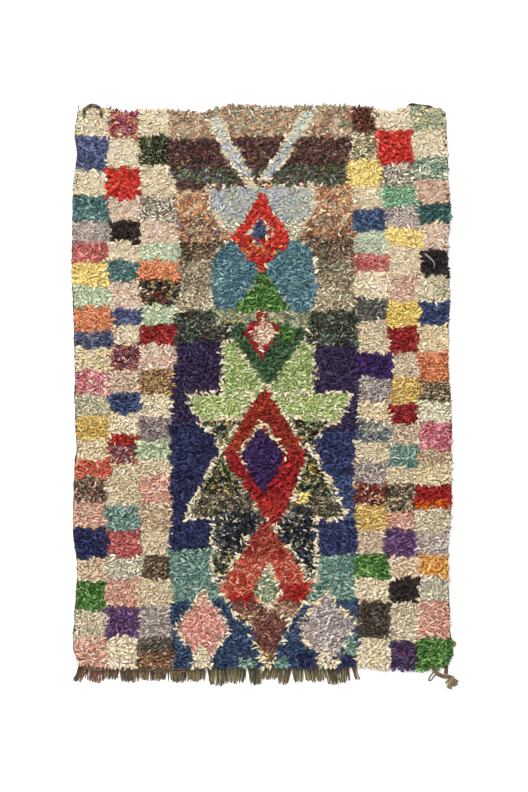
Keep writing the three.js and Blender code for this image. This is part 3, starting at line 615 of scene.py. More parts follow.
@dataclass
class Chart:
    """The rug's design: the checked border's columns and the field's shapes, in named cloths.

    Attributes:
        stray: How far the edges of blocks and shapes wander, in centimetres.
        names: The cloths' names, in the order of their numbers.
    """

    stray: float = 0.7
    names: list[str] = field(default_factory=lambda: list(CLOTHS))

    def number(self, name: str) -> int:
        """The number of a cloth."""
        return self.names.index(name)

    def banded(self, chart: str, down: np.ndarray) -> np.ndarray:
        """Looks up a weaver's list.

        Args:
            chart: Cloths from top to foot, each with the row at which it ends.
            down: Places down from the plain end.

        Returns:
            The number of the cloth at each place.
        """
        cloths, ends = bands(chart)
        numbers = np.array([self.number(name) for name in cloths])
        return numbers[np.minimum(np.searchsorted(ends, down), len(numbers) - 1)]

    def seam(self, text: str, down: np.ndarray) -> np.ndarray:
        """Finds where a seam between columns runs.

        Args:
            text: Its places down and across, pair by pair, parted by commas.
            down: Places down from the plain end.

        Returns:
            Its place across at each of them.
        """
        pairs = np.array([[float(part) for part in pair.split()] for pair in text.split(",")])
        return np.interp(down, pairs[:, 0], pairs[:, 1])

    def panel(self, x: np.ndarray, down: np.ndarray) -> np.ndarray:
        """Tells which column of the border each place belongs to.

        Args:
            x: Places across from the middle line.
            down: Places down from the plain end.

        Returns:
            The column's number in COLUMNS, or -1 in the field.
        """
        place = x + self.stray * (0.5 * wander(x, down, 3, SEED) + 0.7 * wander(x, down, 1.6, SEED + 5))
        lines = [self.seam(text, down) for text in SEAMS]
        lines.insert(0, np.full(len(x), -90.0))
        lines.append(np.full(len(x), 90.0))
        found = np.full(len(x), -1)
        for index in range(len(COLUMNS)):
            first = index if index < 3 else index + 1
            found[(place >= lines[first]) & (place < lines[first + 1])] = index
        return found

    def cloths_at(self, x: np.ndarray, down: np.ndarray) -> np.ndarray:
        """Finds the cloth of each tuft.

        Args:
            x: Places across from the middle line.
            down: Places down from the plain end.

        Returns:
            The number of the cloth at each place.
        """
        panels = self.panel(x, down)
        rows = down + self.stray * (wander(x, down, 6, SEED + 1) + 0.7 * wander(x, down, 1.7, SEED + 2))
        found = np.where(x < 0, self.banded(FIELD_LEFT, rows), self.banded(FIELD_RIGHT, rows))
        across = x + 0.7 * self.stray * wander(x, down, 4, SEED + 3)
        dice = np.random.default_rng(SEED + 4)
        for motif in MOTIFS:
            solid = dice.uniform(size=len(x)) >= motif.gaps
            if motif.rim:
                uneven = 1 + 0.55 * wander(x, down, 2.6, SEED + 6)
                edge = motif.shape.cover(across, rows, motif.rim * uneven)
                found[edge & solid] = self.number(motif.rim_cloth)
                solid = np.full(len(x), True)
            inside = motif.shape.cover(across, rows) & solid
            found[inside] = self.banded(motif.cloths, rows)[inside]
        for index, column in enumerate(COLUMNS):
            here = panels == index
            found[here] = self.banded(column.blocks, rows[here])
        return found


@dataclass(frozen=True)
class Drift:
    """How far one edge of the pile wanders outwards, in millimetres, at places along it."""

    at: tuple[float, ...]
    out: tuple[float, ...]

    def along(self, place: np.ndarray) -> np.ndarray:
        """The drift in metres at places along the edge, also in metres, eased between the table's."""
        at, out = np.array(self.at) * MM, np.array(self.out) * MM
        after = np.clip(np.searchsorted(at, place), 1, len(at) - 1)
        share = np.clip((place - at[after - 1]) / (at[after] - at[after - 1]), 0, 1)
        share = share * share * (3 - 2 * share)
        return out[after - 1] + (out[after] - out[after - 1]) * share


@dataclass
class Plan:
    """The rug's outline in plan, as the frame has it, with its middle at the frame's own place.

    Attributes:
        origin: Where the rug's middle lies in the frame.
        width: The pile's width from lock tip to lock tip.
        length: The pile's length.
        reach: How far the rim's locks stand out past the backing.
        left, right, top, bottom: How each edge wanders.
    """

    origin: tuple[float, float]
    width: float = 1.318
    length: float = 1.970
    reach: float = 0.010
    left: Drift = Drift(
        (-985, -920, -745, -640, -500, -290, -220, -10, 270, 410, 690, 830, 900, 985),
        (-16, 4, -6, -10, 4, 0, -9, -3, 1, 8, 5, -9, -3, -14),
    )
    right: Drift = Drift(
        (-985, -920, -850, -570, -430, -150, 130, 340, 480, 620, 760, 985),
        (-4, 14, 1, -3, 7, 8, -3, 1, -6, 5, -3, -14),
    )
    top: Drift = Drift(
        (-659, -550, -500, -350, -210, -100, 80, 240, 350, 470, 540, 659),
        (-8, -4, -14, -7, -17, 7, 0, 7, 3, -14, 2, -8),
    )
    bottom: Drift = Drift((-659, -560, 280, 350, 420, 460, 570, 659), (-9, 0, 0, -5, 10, 5, 13, -6))

    @classmethod
    def from_frame(cls) -> Plan:
        """Places the plan by the corner loop, whose middle and crown are known on the rug."""
        low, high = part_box("corner_loop")
        loop = LoopRoute()
        middle = (low[0] + high[0]) / 2 - loop.x
        return cls(origin=(middle, high[1] - loop.y - loop.rise - loop.crown / 2))

    def backing(self, u: np.ndarray, v: np.ndarray) -> tuple[np.ndarray, np.ndarray]:
        """Places on the backing, measured from the rug's middle.

        Args:
            u: Shares of the way from the left edge to the right one.
            v: Shares of the way from the fringed end to the plain one.

        Returns:
            The places' x and y.
        """
        half_width, half_length = self.width / 2 - self.reach, self.length / 2 - self.reach
        across, along = half_width * (2 * u - 1), half_length * (2 * v - 1)
        left, right = -half_width - self.left.along(along), half_width + self.right.along(along)
        low, high = -half_length - self.bottom.along(across), half_length + self.top.along(across)
        return left + (right - left) * u, low + (high - low) * v

    def left_edge(self, y: np.ndarray) -> np.ndarray:
        """The x of the backing's left edge at places along the rug, all from the rug's middle."""
        return -self.width / 2 + self.reach - self.left.along(y)

    def chart_place(self, x: np.ndarray, y: np.ndarray) -> tuple[np.ndarray, np.ndarray]:
        """Turns places measured from the rug's middle into the chart's centimetres."""
        return (x - 0.002) / CM, (self.length / 2 - y) / CM


@dataclass(frozen=True)
class LoopRoute:
    """The doubled warp yarn at the plain end's left corner: an arc that springs out of the pile."""

    x: float = -0.591
    y: float = 0.956
    half_span: float = 0.031
    rise: float = 0.031
    start: float = -20.0
    end: float = 200.0
    leg: float = 0.009
    crown: float = 0.012
    fluff: float = 1.22
    pile: float = 0.016
    drop: float = 0.006
    high: float = 0.008


@dataclass
class MeshStore:
    """Collects vertices, faces and what is stored on them, and makes one object of it all.

    Attributes:
        name: The object's name.
        smooth: Whether its faces blend into each other; folded rag keeps its creases.
    """

    name: str
    smooth: bool = True
    points: list[np.ndarray] = field(default_factory=list)
    faces: list[np.ndarray] = field(default_factory=list)
    tints: list[np.ndarray] = field(default_factory=list)
    places: list[np.ndarray] = field(default_factory=list)
    corner_maps: list[np.ndarray] = field(default_factory=list)
    slots: list[np.ndarray] = field(default_factory=list)
    count: int = 0

    def add(
        self,
        points: np.ndarray,
        faces: np.ndarray,
        tints: np.ndarray,
        places: np.ndarray,
        corner_map: np.ndarray,
        slot: int = 0,
    ) -> None:
        """Adds a closed part.

        Args:
            points: Its vertices.
            faces: Its triangles, numbered from its own first vertex.
            tints: A linear colour for each vertex.
            places: For each vertex its place across and along its strip, and a random share.
            corner_map: For each triangle corner its place in the baked texture.
            slot: The number of its material.
        """
        self.points.append(points)
        self.faces.append(faces + self.count)
        self.tints.append(tints)
        self.places.append(places)
        self.corner_maps.append(corner_map)
        self.slots.append(np.full(len(faces), slot))
        self.count += len(points)

    def build(self, origin: tuple[float, float], materials: list[bpy.types.Material]) -> bpy.types.Object:
        """Makes the object.

        Args:
            origin: The rug's middle in the frame.
            materials: Its materials.

        Returns:
            The object, linked to the scene.
        """
        points = np.concatenate(self.points) + np.array([*origin, 0.0])
        faces = np.concatenate(self.faces)
        mesh = bpy.data.meshes.new(self.name)
        mesh.vertices.add(len(points))
        mesh.vertices.foreach_set("co", points.astype(np.float32).ravel())
        mesh.loops.add(faces.size)
        mesh.loops.foreach_set("vertex_index", faces.astype(np.int32).ravel())
        mesh.polygons.add(len(faces))
        mesh.polygons.foreach_set("loop_start", np.arange(0, faces.size, 3, dtype=np.int32))
        mesh.polygons.foreach_set("material_index", np.concatenate(self.slots).astype(np.int32))
        mesh.update(calc_edges=True)
        tints = mesh.attributes.new("rag_tint", "FLOAT_COLOR", "POINT")
        colours = np.concatenate(self.tints)
        colours = np.hstack([np.clip(colours, 0, 1), np.ones((len(colours), 1))])
        tints.data.foreach_set("color", colours.astype(np.float32).ravel())
        places = mesh.attributes.new("strip_place", "FLOAT_VECTOR", "POINT")
        places.data.foreach_set("vector", np.concatenate(self.places).astype(np.float32).ravel())
        baked = mesh.uv_layers.new(name="OFBake")
        corners = np.concatenate([part.reshape(-1, 2) for part in self.corner_maps])
        baked.uv.foreach_set("vector", corners.astype(np.float32).ravel())
        if self.smooth:
            mesh.shade_smooth()
        for material in materials:
            mesh.materials.append(material)
        piece = bpy.data.objects.new(self.name, mesh)
        bpy.context.scene.collection.objects.link(piece)
        return piece


class Nodes:
    """A material's node tree, built up call by call."""

    def __init__(self, name: str) -> None:
        """Starts a material that has only its shader and its output.

        Args:
            name: The material's name.
        """
        self.material = bpy.data.materials.new(name)
        self.material.use_nodes = True
        self.tree = self.material.node_tree
        self.shader = self.tree.nodes["Principled BSDF"]

    def node(self, kind: str, **settings: object) -> bpy.types.Node:
        """Adds a node.

        Args:
            kind: The node's type.
            settings: Its properties.

        Returns:
            The node.
        """
        made = self.tree.nodes.new(kind)
        for key, value in settings.items():
            setattr(made, key, value)
        return made

    def link(self, source: bpy.types.NodeSocket, target: bpy.types.NodeSocket) -> None:
        """Links two sockets."""
        self.tree.links.new(source, target)

    def surface(self, roughness: float, specular: float, sheen: float = 0.0) -> None:
        """Sets what is the same all over the surface.

        Args:
            roughness: Its roughness.
            specular: How strongly it reflects.
            sheen: The strength of its sheen.
        """
        self.shader.inputs["Roughness"].default_value = roughness
        self.shader.inputs["Specular IOR Level"].default_value = specular
        self.shader.inputs["Sheen Weight"].default_value = sheen

    def attribute(self, name: str) -> bpy.types.Node:
        """A node that reads what is stored on the mesh under a name."""
        return self.node("ShaderNodeAttribute", attribute_name=name)

    def noise(self, scale: float, detail: float = 2.0) -> bpy.types.Node:
        """A noise over the object's own space.

        Args:
            scale: Its scale for each metre.
            detail: How many finer layers it has.

        Returns:
            The texture node.
        """
        space = self.node("ShaderNodeTexCoord")
        made = self.node("ShaderNodeTexNoise")
        made.inputs["Scale"].default_value = scale
        made.inputs["Detail"].default_value = detail
        self.link(space.outputs["Object"], made.inputs["Vector"])
        return made

    def ramp(self, value: bpy.types.NodeSocket, low: float, high: float) -> bpy.types.NodeSocket:
        """Maps a value from 0 to 1 onto a range.

        Args:
            value: The value's socket.
            low: What 0 becomes.
            high: What 1 becomes.

        Returns:
            The socket with the mapped value.
        """
        made = self.node("ShaderNodeMapRange")
        made.inputs["To Min"].default_value = low
        made.inputs["To Max"].default_value = high
        self.link(value, made.inputs["Value"])
        return made.outputs["Result"]

    def tone(self, colour: bpy.types.NodeSocket, strength: bpy.types.NodeSocket) -> bpy.types.NodeSocket:
        """Makes a colour lighter or darker.

        Args:
            colour: The colour's socket.
            strength: The factor's socket.

        Returns:
            The socket with the toned colour.
        """
        made = self.node("ShaderNodeVectorMath", operation="SCALE")
        self.link(colour, made.inputs[0])
        self.link(strength, made.inputs["Scale"])
        return made.outputs["Vector"]

    def bump(
        self, height: bpy.types.NodeSocket, depth: float, under: bpy.types.Node | None = None
    ) -> bpy.types.Node:
        """Adds relief to the shader.

        Args:
            height: The relief's socket.
            depth: Its depth in metres.
            under: A relief that this one lies on.

        Returns:
            The bump node.
        """
        made = self.node("ShaderNodeBump")
        made.inputs["Strength"].default_value = 1.0
        made.inputs["Distance"].default_value = depth
        self.link(height, made.inputs["Height"])
        if under:
            self.link(under.outputs["Normal"], made.inputs["Normal"])
        self.link(made.outputs["Normal"], self.shader.inputs["Normal"])
        return made


@dataclass(frozen=True)
class RagFinish:
    """Torn rag: matt cotton and jersey with fine ribs along each strip and a mottled dye."""

    roughness: float = 0.9
    sheen: float = 0.04
    ribs: float = 6.0
    rib_depth: float = 0.00035
    lint_scale: float = 900.0
    lint_depth: float = 0.0004

    def make(self, name: str) -> bpy.types.Material:
        """Builds the material under a name."""
        nodes = Nodes(name)
        tint, place = nodes.attribute("rag_tint"), nodes.attribute("strip_place")
        lint = nodes.noise(self.lint_scale, 3.0)
        dye = nodes.noise(self.lint_scale / 9)
        mottled = nodes.tone(tint.outputs["Color"], nodes.ramp(lint.outputs["Fac"], 0.88, 1.12))
        mottled = nodes.tone(mottled, nodes.ramp(dye.outputs["Fac"], 0.9, 1.1))
        nodes.link(mottled, nodes.shader.inputs["Base Color"])
        ribs = nodes.node("ShaderNodeTexWave", wave_type="BANDS", bands_direction="X")
        ribs.inputs["Scale"].default_value = self.ribs / 2
        ribs.inputs["Distortion"].default_value = 1.2
        nodes.link(place.outputs["Vector"], ribs.inputs["Vector"])
        relief = nodes.bump(ribs.outputs["Fac"], self.rib_depth)
        nodes.bump(lint.outputs["Fac"], self.lint_depth, relief)
        nodes.surface(self.roughness, 0.1, self.sheen)
        return nodes.material


@dataclass(frozen=True)
class WoolFinish:
    """Handspun wool: fibres that run round the yarn in a slant, with painted light and shade along them, and
    mottled light and dark.
    """

    roughness: float = 0.95
    sheen: float = 0.2
    turns: float = 260.0
    fibre_depth: float = 0.0005
    fluff_scale: float = 700.0

    def make(self, name: str) -> bpy.types.Material:
        """Builds the material under a name."""
        nodes = Nodes(name)
        tint, place = nodes.attribute("rag_tint"), nodes.attribute("strip_place")
        slant = nodes.node("ShaderNodeVectorMath", operation="MULTIPLY")
        slant.inputs[1].default_value = (2.0, self.turns, 0.0)
        nodes.link(place.outputs["Vector"], slant.inputs[0])
        fibres = nodes.node("ShaderNodeTexWave", wave_type="BANDS", bands_direction="DIAGONAL")
        fibres.inputs["Scale"].default_value = 1.0
        fibres.inputs["Distortion"].default_value = 2.0
        nodes.link(slant.outputs["Vector"], fibres.inputs["Vector"])
        fluff = nodes.noise(self.fluff_scale, 4.0)
        # Painted light and shade: the fibre bands make the wool darker in the grooves between fibres and
        # lighter on their crests, as the relief rises.
        toned = nodes.tone(tint.outputs["Color"], nodes.ramp(fibres.outputs["Fac"], 0.7, 1.2))
        toned = nodes.tone(toned, nodes.ramp(fluff.outputs["Fac"], 0.6, 1.4))
        nodes.link(toned, nodes.shader.inputs["Base Color"])
        relief = nodes.bump(fibres.outputs["Fac"], self.fibre_depth)
        nodes.bump(fluff.outputs["Fac"], self.fibre_depth, relief)
        nodes.surface(self.roughness, 0.15, self.sheen)
        return nodes.material


@dataclass(frozen=True)
class WeaveFinish:
    """The back of the ground weave: brown wool weft with painted shade between its picks, and the rag knots
    showing in rows.
    """

    knot_width: float = 0.015
    row_height: float = 0.0175
    weft_scale: float = 380.0
    wool: str = "6b5a48"

    def make(self, name: str) -> bpy.types.Material:
        """Builds the material under a name."""
        nodes = Nodes(name)
        space, tint = nodes.node("ShaderNodeTexCoord"), nodes.attribute("rag_tint")
        weft = nodes.node("ShaderNodeTexWave", wave_type="BANDS", bands_direction="Y")
        weft.inputs["Scale"].default_value = self.weft_scale / math.tau
        weft.inputs["Distortion"].default_value = 1.5
        nodes.link(space.outputs["Object"], weft.inputs["Vector"])
        # Painted shade: in the grooves between weft picks, where the relief is low, the wool is darkened to
        # 0.45 of its colour.
        wool = nodes.node("ShaderNodeMix", data_type="RGBA")
        wool.inputs["A"].default_value = (*(0.45 * part for part in linear(self.wool)), 1)
        wool.inputs["B"].default_value = (*linear(self.wool), 1)
        nodes.link(weft.outputs["Fac"], wool.inputs["Factor"])
        knots = nodes.node("ShaderNodeTexBrick", offset=0.5)
        settings = {
            "Color1": (1, 1, 1, 1),
            "Color2": (0.8, 0.8, 0.8, 1),
            "Mortar": (0, 0, 0, 1),
            "Scale": 1.0,
            "Mortar Size": 0.003,
            "Mortar Smooth": 0.4,
            "Brick Width": self.knot_width,
            "Row Height": self.row_height,
        }
        for key, value in settings.items():
            knots.inputs[key].default_value = value
        nodes.link(space.outputs["Object"], knots.inputs["Vector"])
        mixed = nodes.node("ShaderNodeMix", data_type="RGBA")
        nodes.link(knots.outputs["Color"], mixed.inputs["Factor"])
        nodes.link(wool.outputs["Result"], mixed.inputs["A"])
        nodes.link(tint.outputs["Color"], mixed.inputs["B"])
        nodes.link(mixed.outputs["Result"], nodes.shader.inputs["Base Color"])
        relief = nodes.bump(weft.outputs["Fac"], 0.0008)
        nodes.bump(knots.outputs["Color"], 0.0012, relief)
        nodes.surface(0.95, 0.15)
        return nodes.material


@dataclass(frozen=True)
class FloorFinish:
    """A plain pale floor."""

    tone: float = 0.96

    def make(self, name: str) -> bpy.types.Material:
        """Builds the material under a name."""
        nodes = Nodes(name)
        nodes.shader.inputs["Base Color"].default_value = (self.tone, self.tone, self.tone, 1)
        nodes.surface(0.9, 0.1)
        return nodes.material


@dataclass
class Pile:
    """The rag pile: rows of tufts, each a strip that rises from its knot and lies over.

    Attributes:
        plan: The rug's outline.
        chart: The rug's design.
        per_row: Tufts in a row.
        rows: Rows of tufts.
        length: The length of a middling strip.
        width: Its width.
        thick: Its thickness, folded as it lies.
        rings: Cross-sections along a strip.
        knot_height: The height at which strips leave the ground weave.
        rim_depth: How far in from the edge the rim's extra strips stand.
        rim_pitch: The distance between them along the edge.
        rim_length: Their length beside the others'.
        crumple: How far a strip's middle strays at each cross-section.
        bend: How early strips turn over; the less the sooner.
        brow: The height above which strips are pressed down.
        press: The share of their rise above it that is left.
        hem: How far strips reach past the backing on the left, where the selvedge shows.
        give: The share of their reach past it that is left.
    """

    plan: Plan
    chart: Chart
    per_row: int = 98
    rows: int = 250
    length: float = 0.0272
    width: float = 0.0099
    thick: float = 0.0024
    rings: int = 6
    knot_height: float = 0.006
    rim_depth: float = 0.006
    rim_pitch: float = 0.0055
    rim_length: float = 0.74
    crumple: float = 0.0013
    bend: float = 0.5
    brow: float = 0.020
    press: float = 0.35
    hem: float = 0.0046
    give: float = 0.25

    def places(self, dice: np.random.Generator) -> dict[str, np.ndarray]:
        """Sets out the tufts.

        Args:
            dice: The source of the strays.

        Returns:
            Their x and y, the directions in which they lie over, and how near the rim they are.
        """
        row, column = np.meshgrid(np.arange(self.rows), np.arange(self.per_row), indexing="ij")
        row, column = row.ravel(), column.ravel()
        u = (column + 0.5 + 0.5 * (row % 2) - 0.25 + dice.uniform(-0.42, 0.42, len(row))) / self.per_row
        v = (row + 0.5 + dice.uniform(-0.45, 0.45, len(row))) / self.rows
        u, v = np.clip(u, 0.002, 0.998), np.clip(v, 0.002, 0.998)
        x, y = self.plan.backing(u, v)
        crosswise = np.where(dice.uniform(size=len(x)) < 0.5, 0.0, 180.0) + dice.normal(0, 32, len(x))
        anyhow = dice.uniform(-180, 180, len(x))
        heading = np.radians(np.where(dice.uniform(size=len(x)) < 0.65, crosswise, anyhow))
        spots = {"x": x, "y": y, "heading": heading, "near": np.zeros(len(x))}
        rim = self.rim(dice)
        return {key: np.concatenate([spots[key], rim[key]]) for key in spots}

    def rim(self, dice: np.random.Generator) -> dict[str, np.ndarray]:
        """Sets out the extra tufts along the four edges, which lean outwards over the selvedges.

        Args:
            dice: The source of the strays.

        Returns:
            The same as for places.
        """
        spots = []
        for side, outward in enumerate((math.pi, 0.0, -math.pi / 2, math.pi / 2)):
            span, depth = self.plan.length, self.plan.width
            if side >= 2:
                span, depth = depth, span
            count = round(span / self.rim_pitch)
            along = (np.arange(count) + dice.uniform(0.1, 0.9, count)) / count
            inset = dice.uniform(0.0005, self.rim_depth, count) / depth
            inset = inset if side in (0, 2) else 1 - inset
            x, y = self.plan.backing(inset, along) if side < 2 else self.plan.backing(along, inset)
            heading = outward + dice.normal(0, 0.6, count)
            spots.append({"x": x, "y": y, "heading": heading, "near": np.ones(count)})
        return {key: np.concatenate([part[key] for part in spots]) for key in spots[0]}

    def tints(self, cloths: np.ndarray, dice: np.random.Generator) -> np.ndarray:
        """Colours the tufts, with painted shade towards their roots.

        Args:
            cloths: The number of each tuft's cloth.
            dice: The source of the strays.

        Returns:
            A linear colour for each ring of each tuft.
        """
        tints = np.zeros((len(cloths), self.rings, 3))
        for number, name in enumerate(self.chart.names):
            here = np.flatnonzero(cloths == number)
            cloth = CLOTHS[name]
            palette = cloth.palette()
            first = dice.integers(0, len(palette), (len(here), 1))
            other = dice.integers(0, len(palette), (len(here), self.rings))
            picked = np.where(dice.uniform(size=other.shape) < cloth.fleck, other, first)
            stray = np.exp(dice.normal(0, 1.35 * cloth.stray, (len(here), 1, 1)))
            cast = np.exp(dice.normal(0, 0.03, (len(here), 1, 3)))
            tints[here] = palette[picked] * stray * cast
        # Painted shade: each strip darkens towards its root, deep in the pile where shade falls, and dark
        # cloth darkens more than pale.
        lightness = tints.mean((1, 2))[:, None]
        rise = np.interp(np.linspace(0, 1, self.rings), [0, 0.5, 1], [0.0, 0.9, 1.0])[None]
        depth = rise + (1 - rise) * np.clip(0.25 + 0.95 * lightness, 0, 1)
        return tints * depth[..., None]

    def strips(
        self, spots: dict[str, np.ndarray], size: np.ndarray, dice: np.random.Generator
    ) -> np.ndarray:
        """Shapes the strips.

        Args:
            spots: The tufts' places and headings.
            size: Their sizes beside a middling one.
            dice: The source of the strays.

        Returns:
            The vertices: tuft, ring, three of each ring, and x, y and z.
        """
        count, rings = len(size), self.rings
        share = np.linspace(0, 1, rings)[None, :]
        length = self.length * size**0.35 * dice.uniform(0.75, 1.2, count)
        length = length * np.where(spots["near"] > 0, self.rim_length, 1.0)
        climb = np.radians(dice.uniform(64, 92, (count, 1)))
        lie = np.radians(dice.uniform(-30, 30, (count, 1)))
        slope = climb + (lie - climb) * share**self.bend
        curl = np.radians(dice.normal(0, 42, (count, 1)))
        heading = spots["heading"][:, None] + curl * (share - 0.3)
        step = (length / (rings - 1))[:, None]
        run = np.stack([np.cos(slope) * np.cos(heading), np.cos(slope) * np.sin(heading), np.sin(slope)], -1)
        middle = (run[:, 1:] + run[:, :-1]) / 2 * step[..., None]
        path = np.concatenate([np.zeros((count, 1, 3)), np.cumsum(middle, 1)], 1)
        inward = path[:, :, :2].mean(1) * (1 - 0.65 * spots["near"])[:, None]
        path[..., 0] += (spots["x"] - inward[:, 0])[:, None]
        path[..., 1] += (spots["y"] - inward[:, 1])[:, None]
        path[..., 2] += self.knot_height + dice.uniform(-0.0015, 0.0035, (count, 1))
        path[:, 1:] += dice.normal(0, self.crumple, (count, rings - 1, 3))
        roll = np.radians(dice.normal(0, 30, (count, 1)))
        roll = roll + np.radians(dice.normal(0, 45, (count, 1))) * share
        level = np.stack([-np.sin(heading), np.cos(heading), np.zeros_like(heading)], -1)
        proud = np.cross(run, level)
        side = level * np.cos(roll)[..., None] + proud * np.sin(roll)[..., None]
        up = np.cross(run, side)
        girth = np.interp(share[0], [0, 0.3, 0.7, 1], [0.55, 0.95, 1.05, 0.45])
        wide = (self.width * size * dice.uniform(0.7, 1.35, count))[:, None] * girth
        wide = wide * dice.uniform(0.75, 1.2, (count, rings))
        thick = (self.thick * dice.uniform(0.7, 1.4, count))[:, None]
        thick = thick * np.interp(share[0], [0, 0.6, 1], [1, 1, 0.5])
        thick = thick * dice.uniform(0.5, 1.4, (count, rings))
        shift = dice.uniform(-0.35, 0.35, (count, rings))
        left = path - side * (wide / 2)[..., None]
        right = path + side * (wide / 2)[..., None]
        crest = path + side * (wide * shift)[..., None] + up * thick[..., None]
        strip = np.stack([left, right, crest], 2)
        ragged = dice.uniform(-0.003, 0.003, (count, 3, 1)) * run[:, -1][:, None, :]
        strip[:, -1] += ragged
        x, y = strip[..., 0], strip[..., 1]
        wavy = 0.0035 * wander(y * 100, y * 0, 1.1, SEED + 11)
        hold = self.plan.left_edge(y) - self.hem - wavy
        strip[..., 0] = np.where(x < hold, hold + self.give * (x - hold), x)
        height = strip[..., 2]
        height = np.where(height > self.brow, self.brow + (height - self.brow) * self.press, height)
        strip[..., 2] = np.maximum(height, 0.0035)
        return strip

    def faces(self) -> np.ndarray:
        """The triangles of one strip, numbered ring by ring with three vertices a ring."""
        triangles = [(0, 1, 2)]
        for ring in range(self.rings - 1):
            for side in range(3):
                a, b = ring * 3 + side, ring * 3 + (side + 1) % 3
                triangles += [(a, a + 3, b + 3), (a, b + 3, b)]
        last = (self.rings - 1) * 3
        return np.array(triangles + [(last, last + 2, last + 1)])

    def corner_map(self, count: int) -> np.ndarray:
        """Gives each strip a small patch of the baked texture.

        Args:
            count: The number of strips.

        Returns:
            For each strip, triangle and corner the place in the texture.
        """
        cells = math.ceil(math.sqrt(count))
        corners = [[(0.02, 0.0), (0.3, 0.0), (0.15, 0.02)]]
        for ring in range(self.rings - 1):
            low, high = (0.04 + 0.92 * (ring + more) / (self.rings - 1) for more in (0, 1))
            for side in range(3):
                a, b = side / 3, (side + 1) / 3
                corners += [[(a, low), (a, high), (b, high)], [(a, low), (b, high), (b, low)]]
        corners.append([(0.02, 1.0), (0.15, 0.98), (0.3, 1.0)])
        patch = np.array(corners) * 0.9 + 0.05
        numbers = np.arange(count)
        cell = np.stack([numbers % cells, numbers // cells], -1)
        return (patch[None] + cell[:, None, None, :]) / cells

    def split(self, x: np.ndarray, down: np.ndarray) -> dict[str, np.ndarray]:
        """Shares the tufts out among the pile's pieces.

        Args:
            x: The tufts' places across from the middle line, in the chart's centimetres.
            down: Their places down from the plain end.

        Returns:
            The numbers of each piece's tufts, by the piece's name.
        """
        panels = self.chart.panel(x, down)
        parts = {
            f"pile_{column.name}": np.flatnonzero(panels == index) for index, column in enumerate(COLUMNS)
        }
        third = self.plan.length / CM / 3
        for index, name in enumerate(("upper", "middle", "lower")):
            inside = (panels < 0) & (np.clip(down // third, 0, 2) == index)
            parts[f"pile_field_{name}"] = np.flatnonzero(inside)
        return parts

    def build(self, finish: bpy.types.Material) -> list[bpy.types.Object]:
        """Makes the pile's pieces.

        Args:
            finish: The rag's material.

        Returns:
            The pieces.
        """
        dice = np.random.default_rng(SEED + 10)
        spots = self.places(dice)
        x, down = self.plan.chart_place(spots["x"], spots["y"])
        cloths = self.chart.cloths_at(x, down)
        size = np.array([CLOTHS[name].size for name in self.chart.names])[cloths]
        strips = self.strips(spots, size, dice)
        tints = self.tints(cloths, dice)
        faces = self.faces()
        across = np.tile([0.0, 1.0, 0.5], (self.rings, 1))
        along = np.repeat(np.linspace(0, self.length, self.rings)[:, None], 3, 1)
        pieces = []
        for name, members in self.split(x, down).items():
            count, per_strip = len(members), self.rings * 3
            store = MeshStore(name, smooth=False)
            numbering = (np.arange(count) * per_strip)[:, None, None] + faces[None]
            place = np.stack([across, along * 60, np.zeros_like(across)], -1).reshape(-1, 3)
            places = np.tile(place, (count, 1)) + np.repeat(dice.uniform(0, 9, (count, 1)), per_strip, 0)
            store.add(
                strips[members].reshape(-1, 3),
                numbering.reshape(-1, 3),
                np.repeat(tints[members], 3, axis=1).reshape(-1, 3),
                places,
                self.corner_map(count),
            )
            pieces.append(store.build(self.plan.origin, [finish]))
            LOG.info("%s: %d tufts, %d triangles", name, count, len(faces) * count)
        return pieces


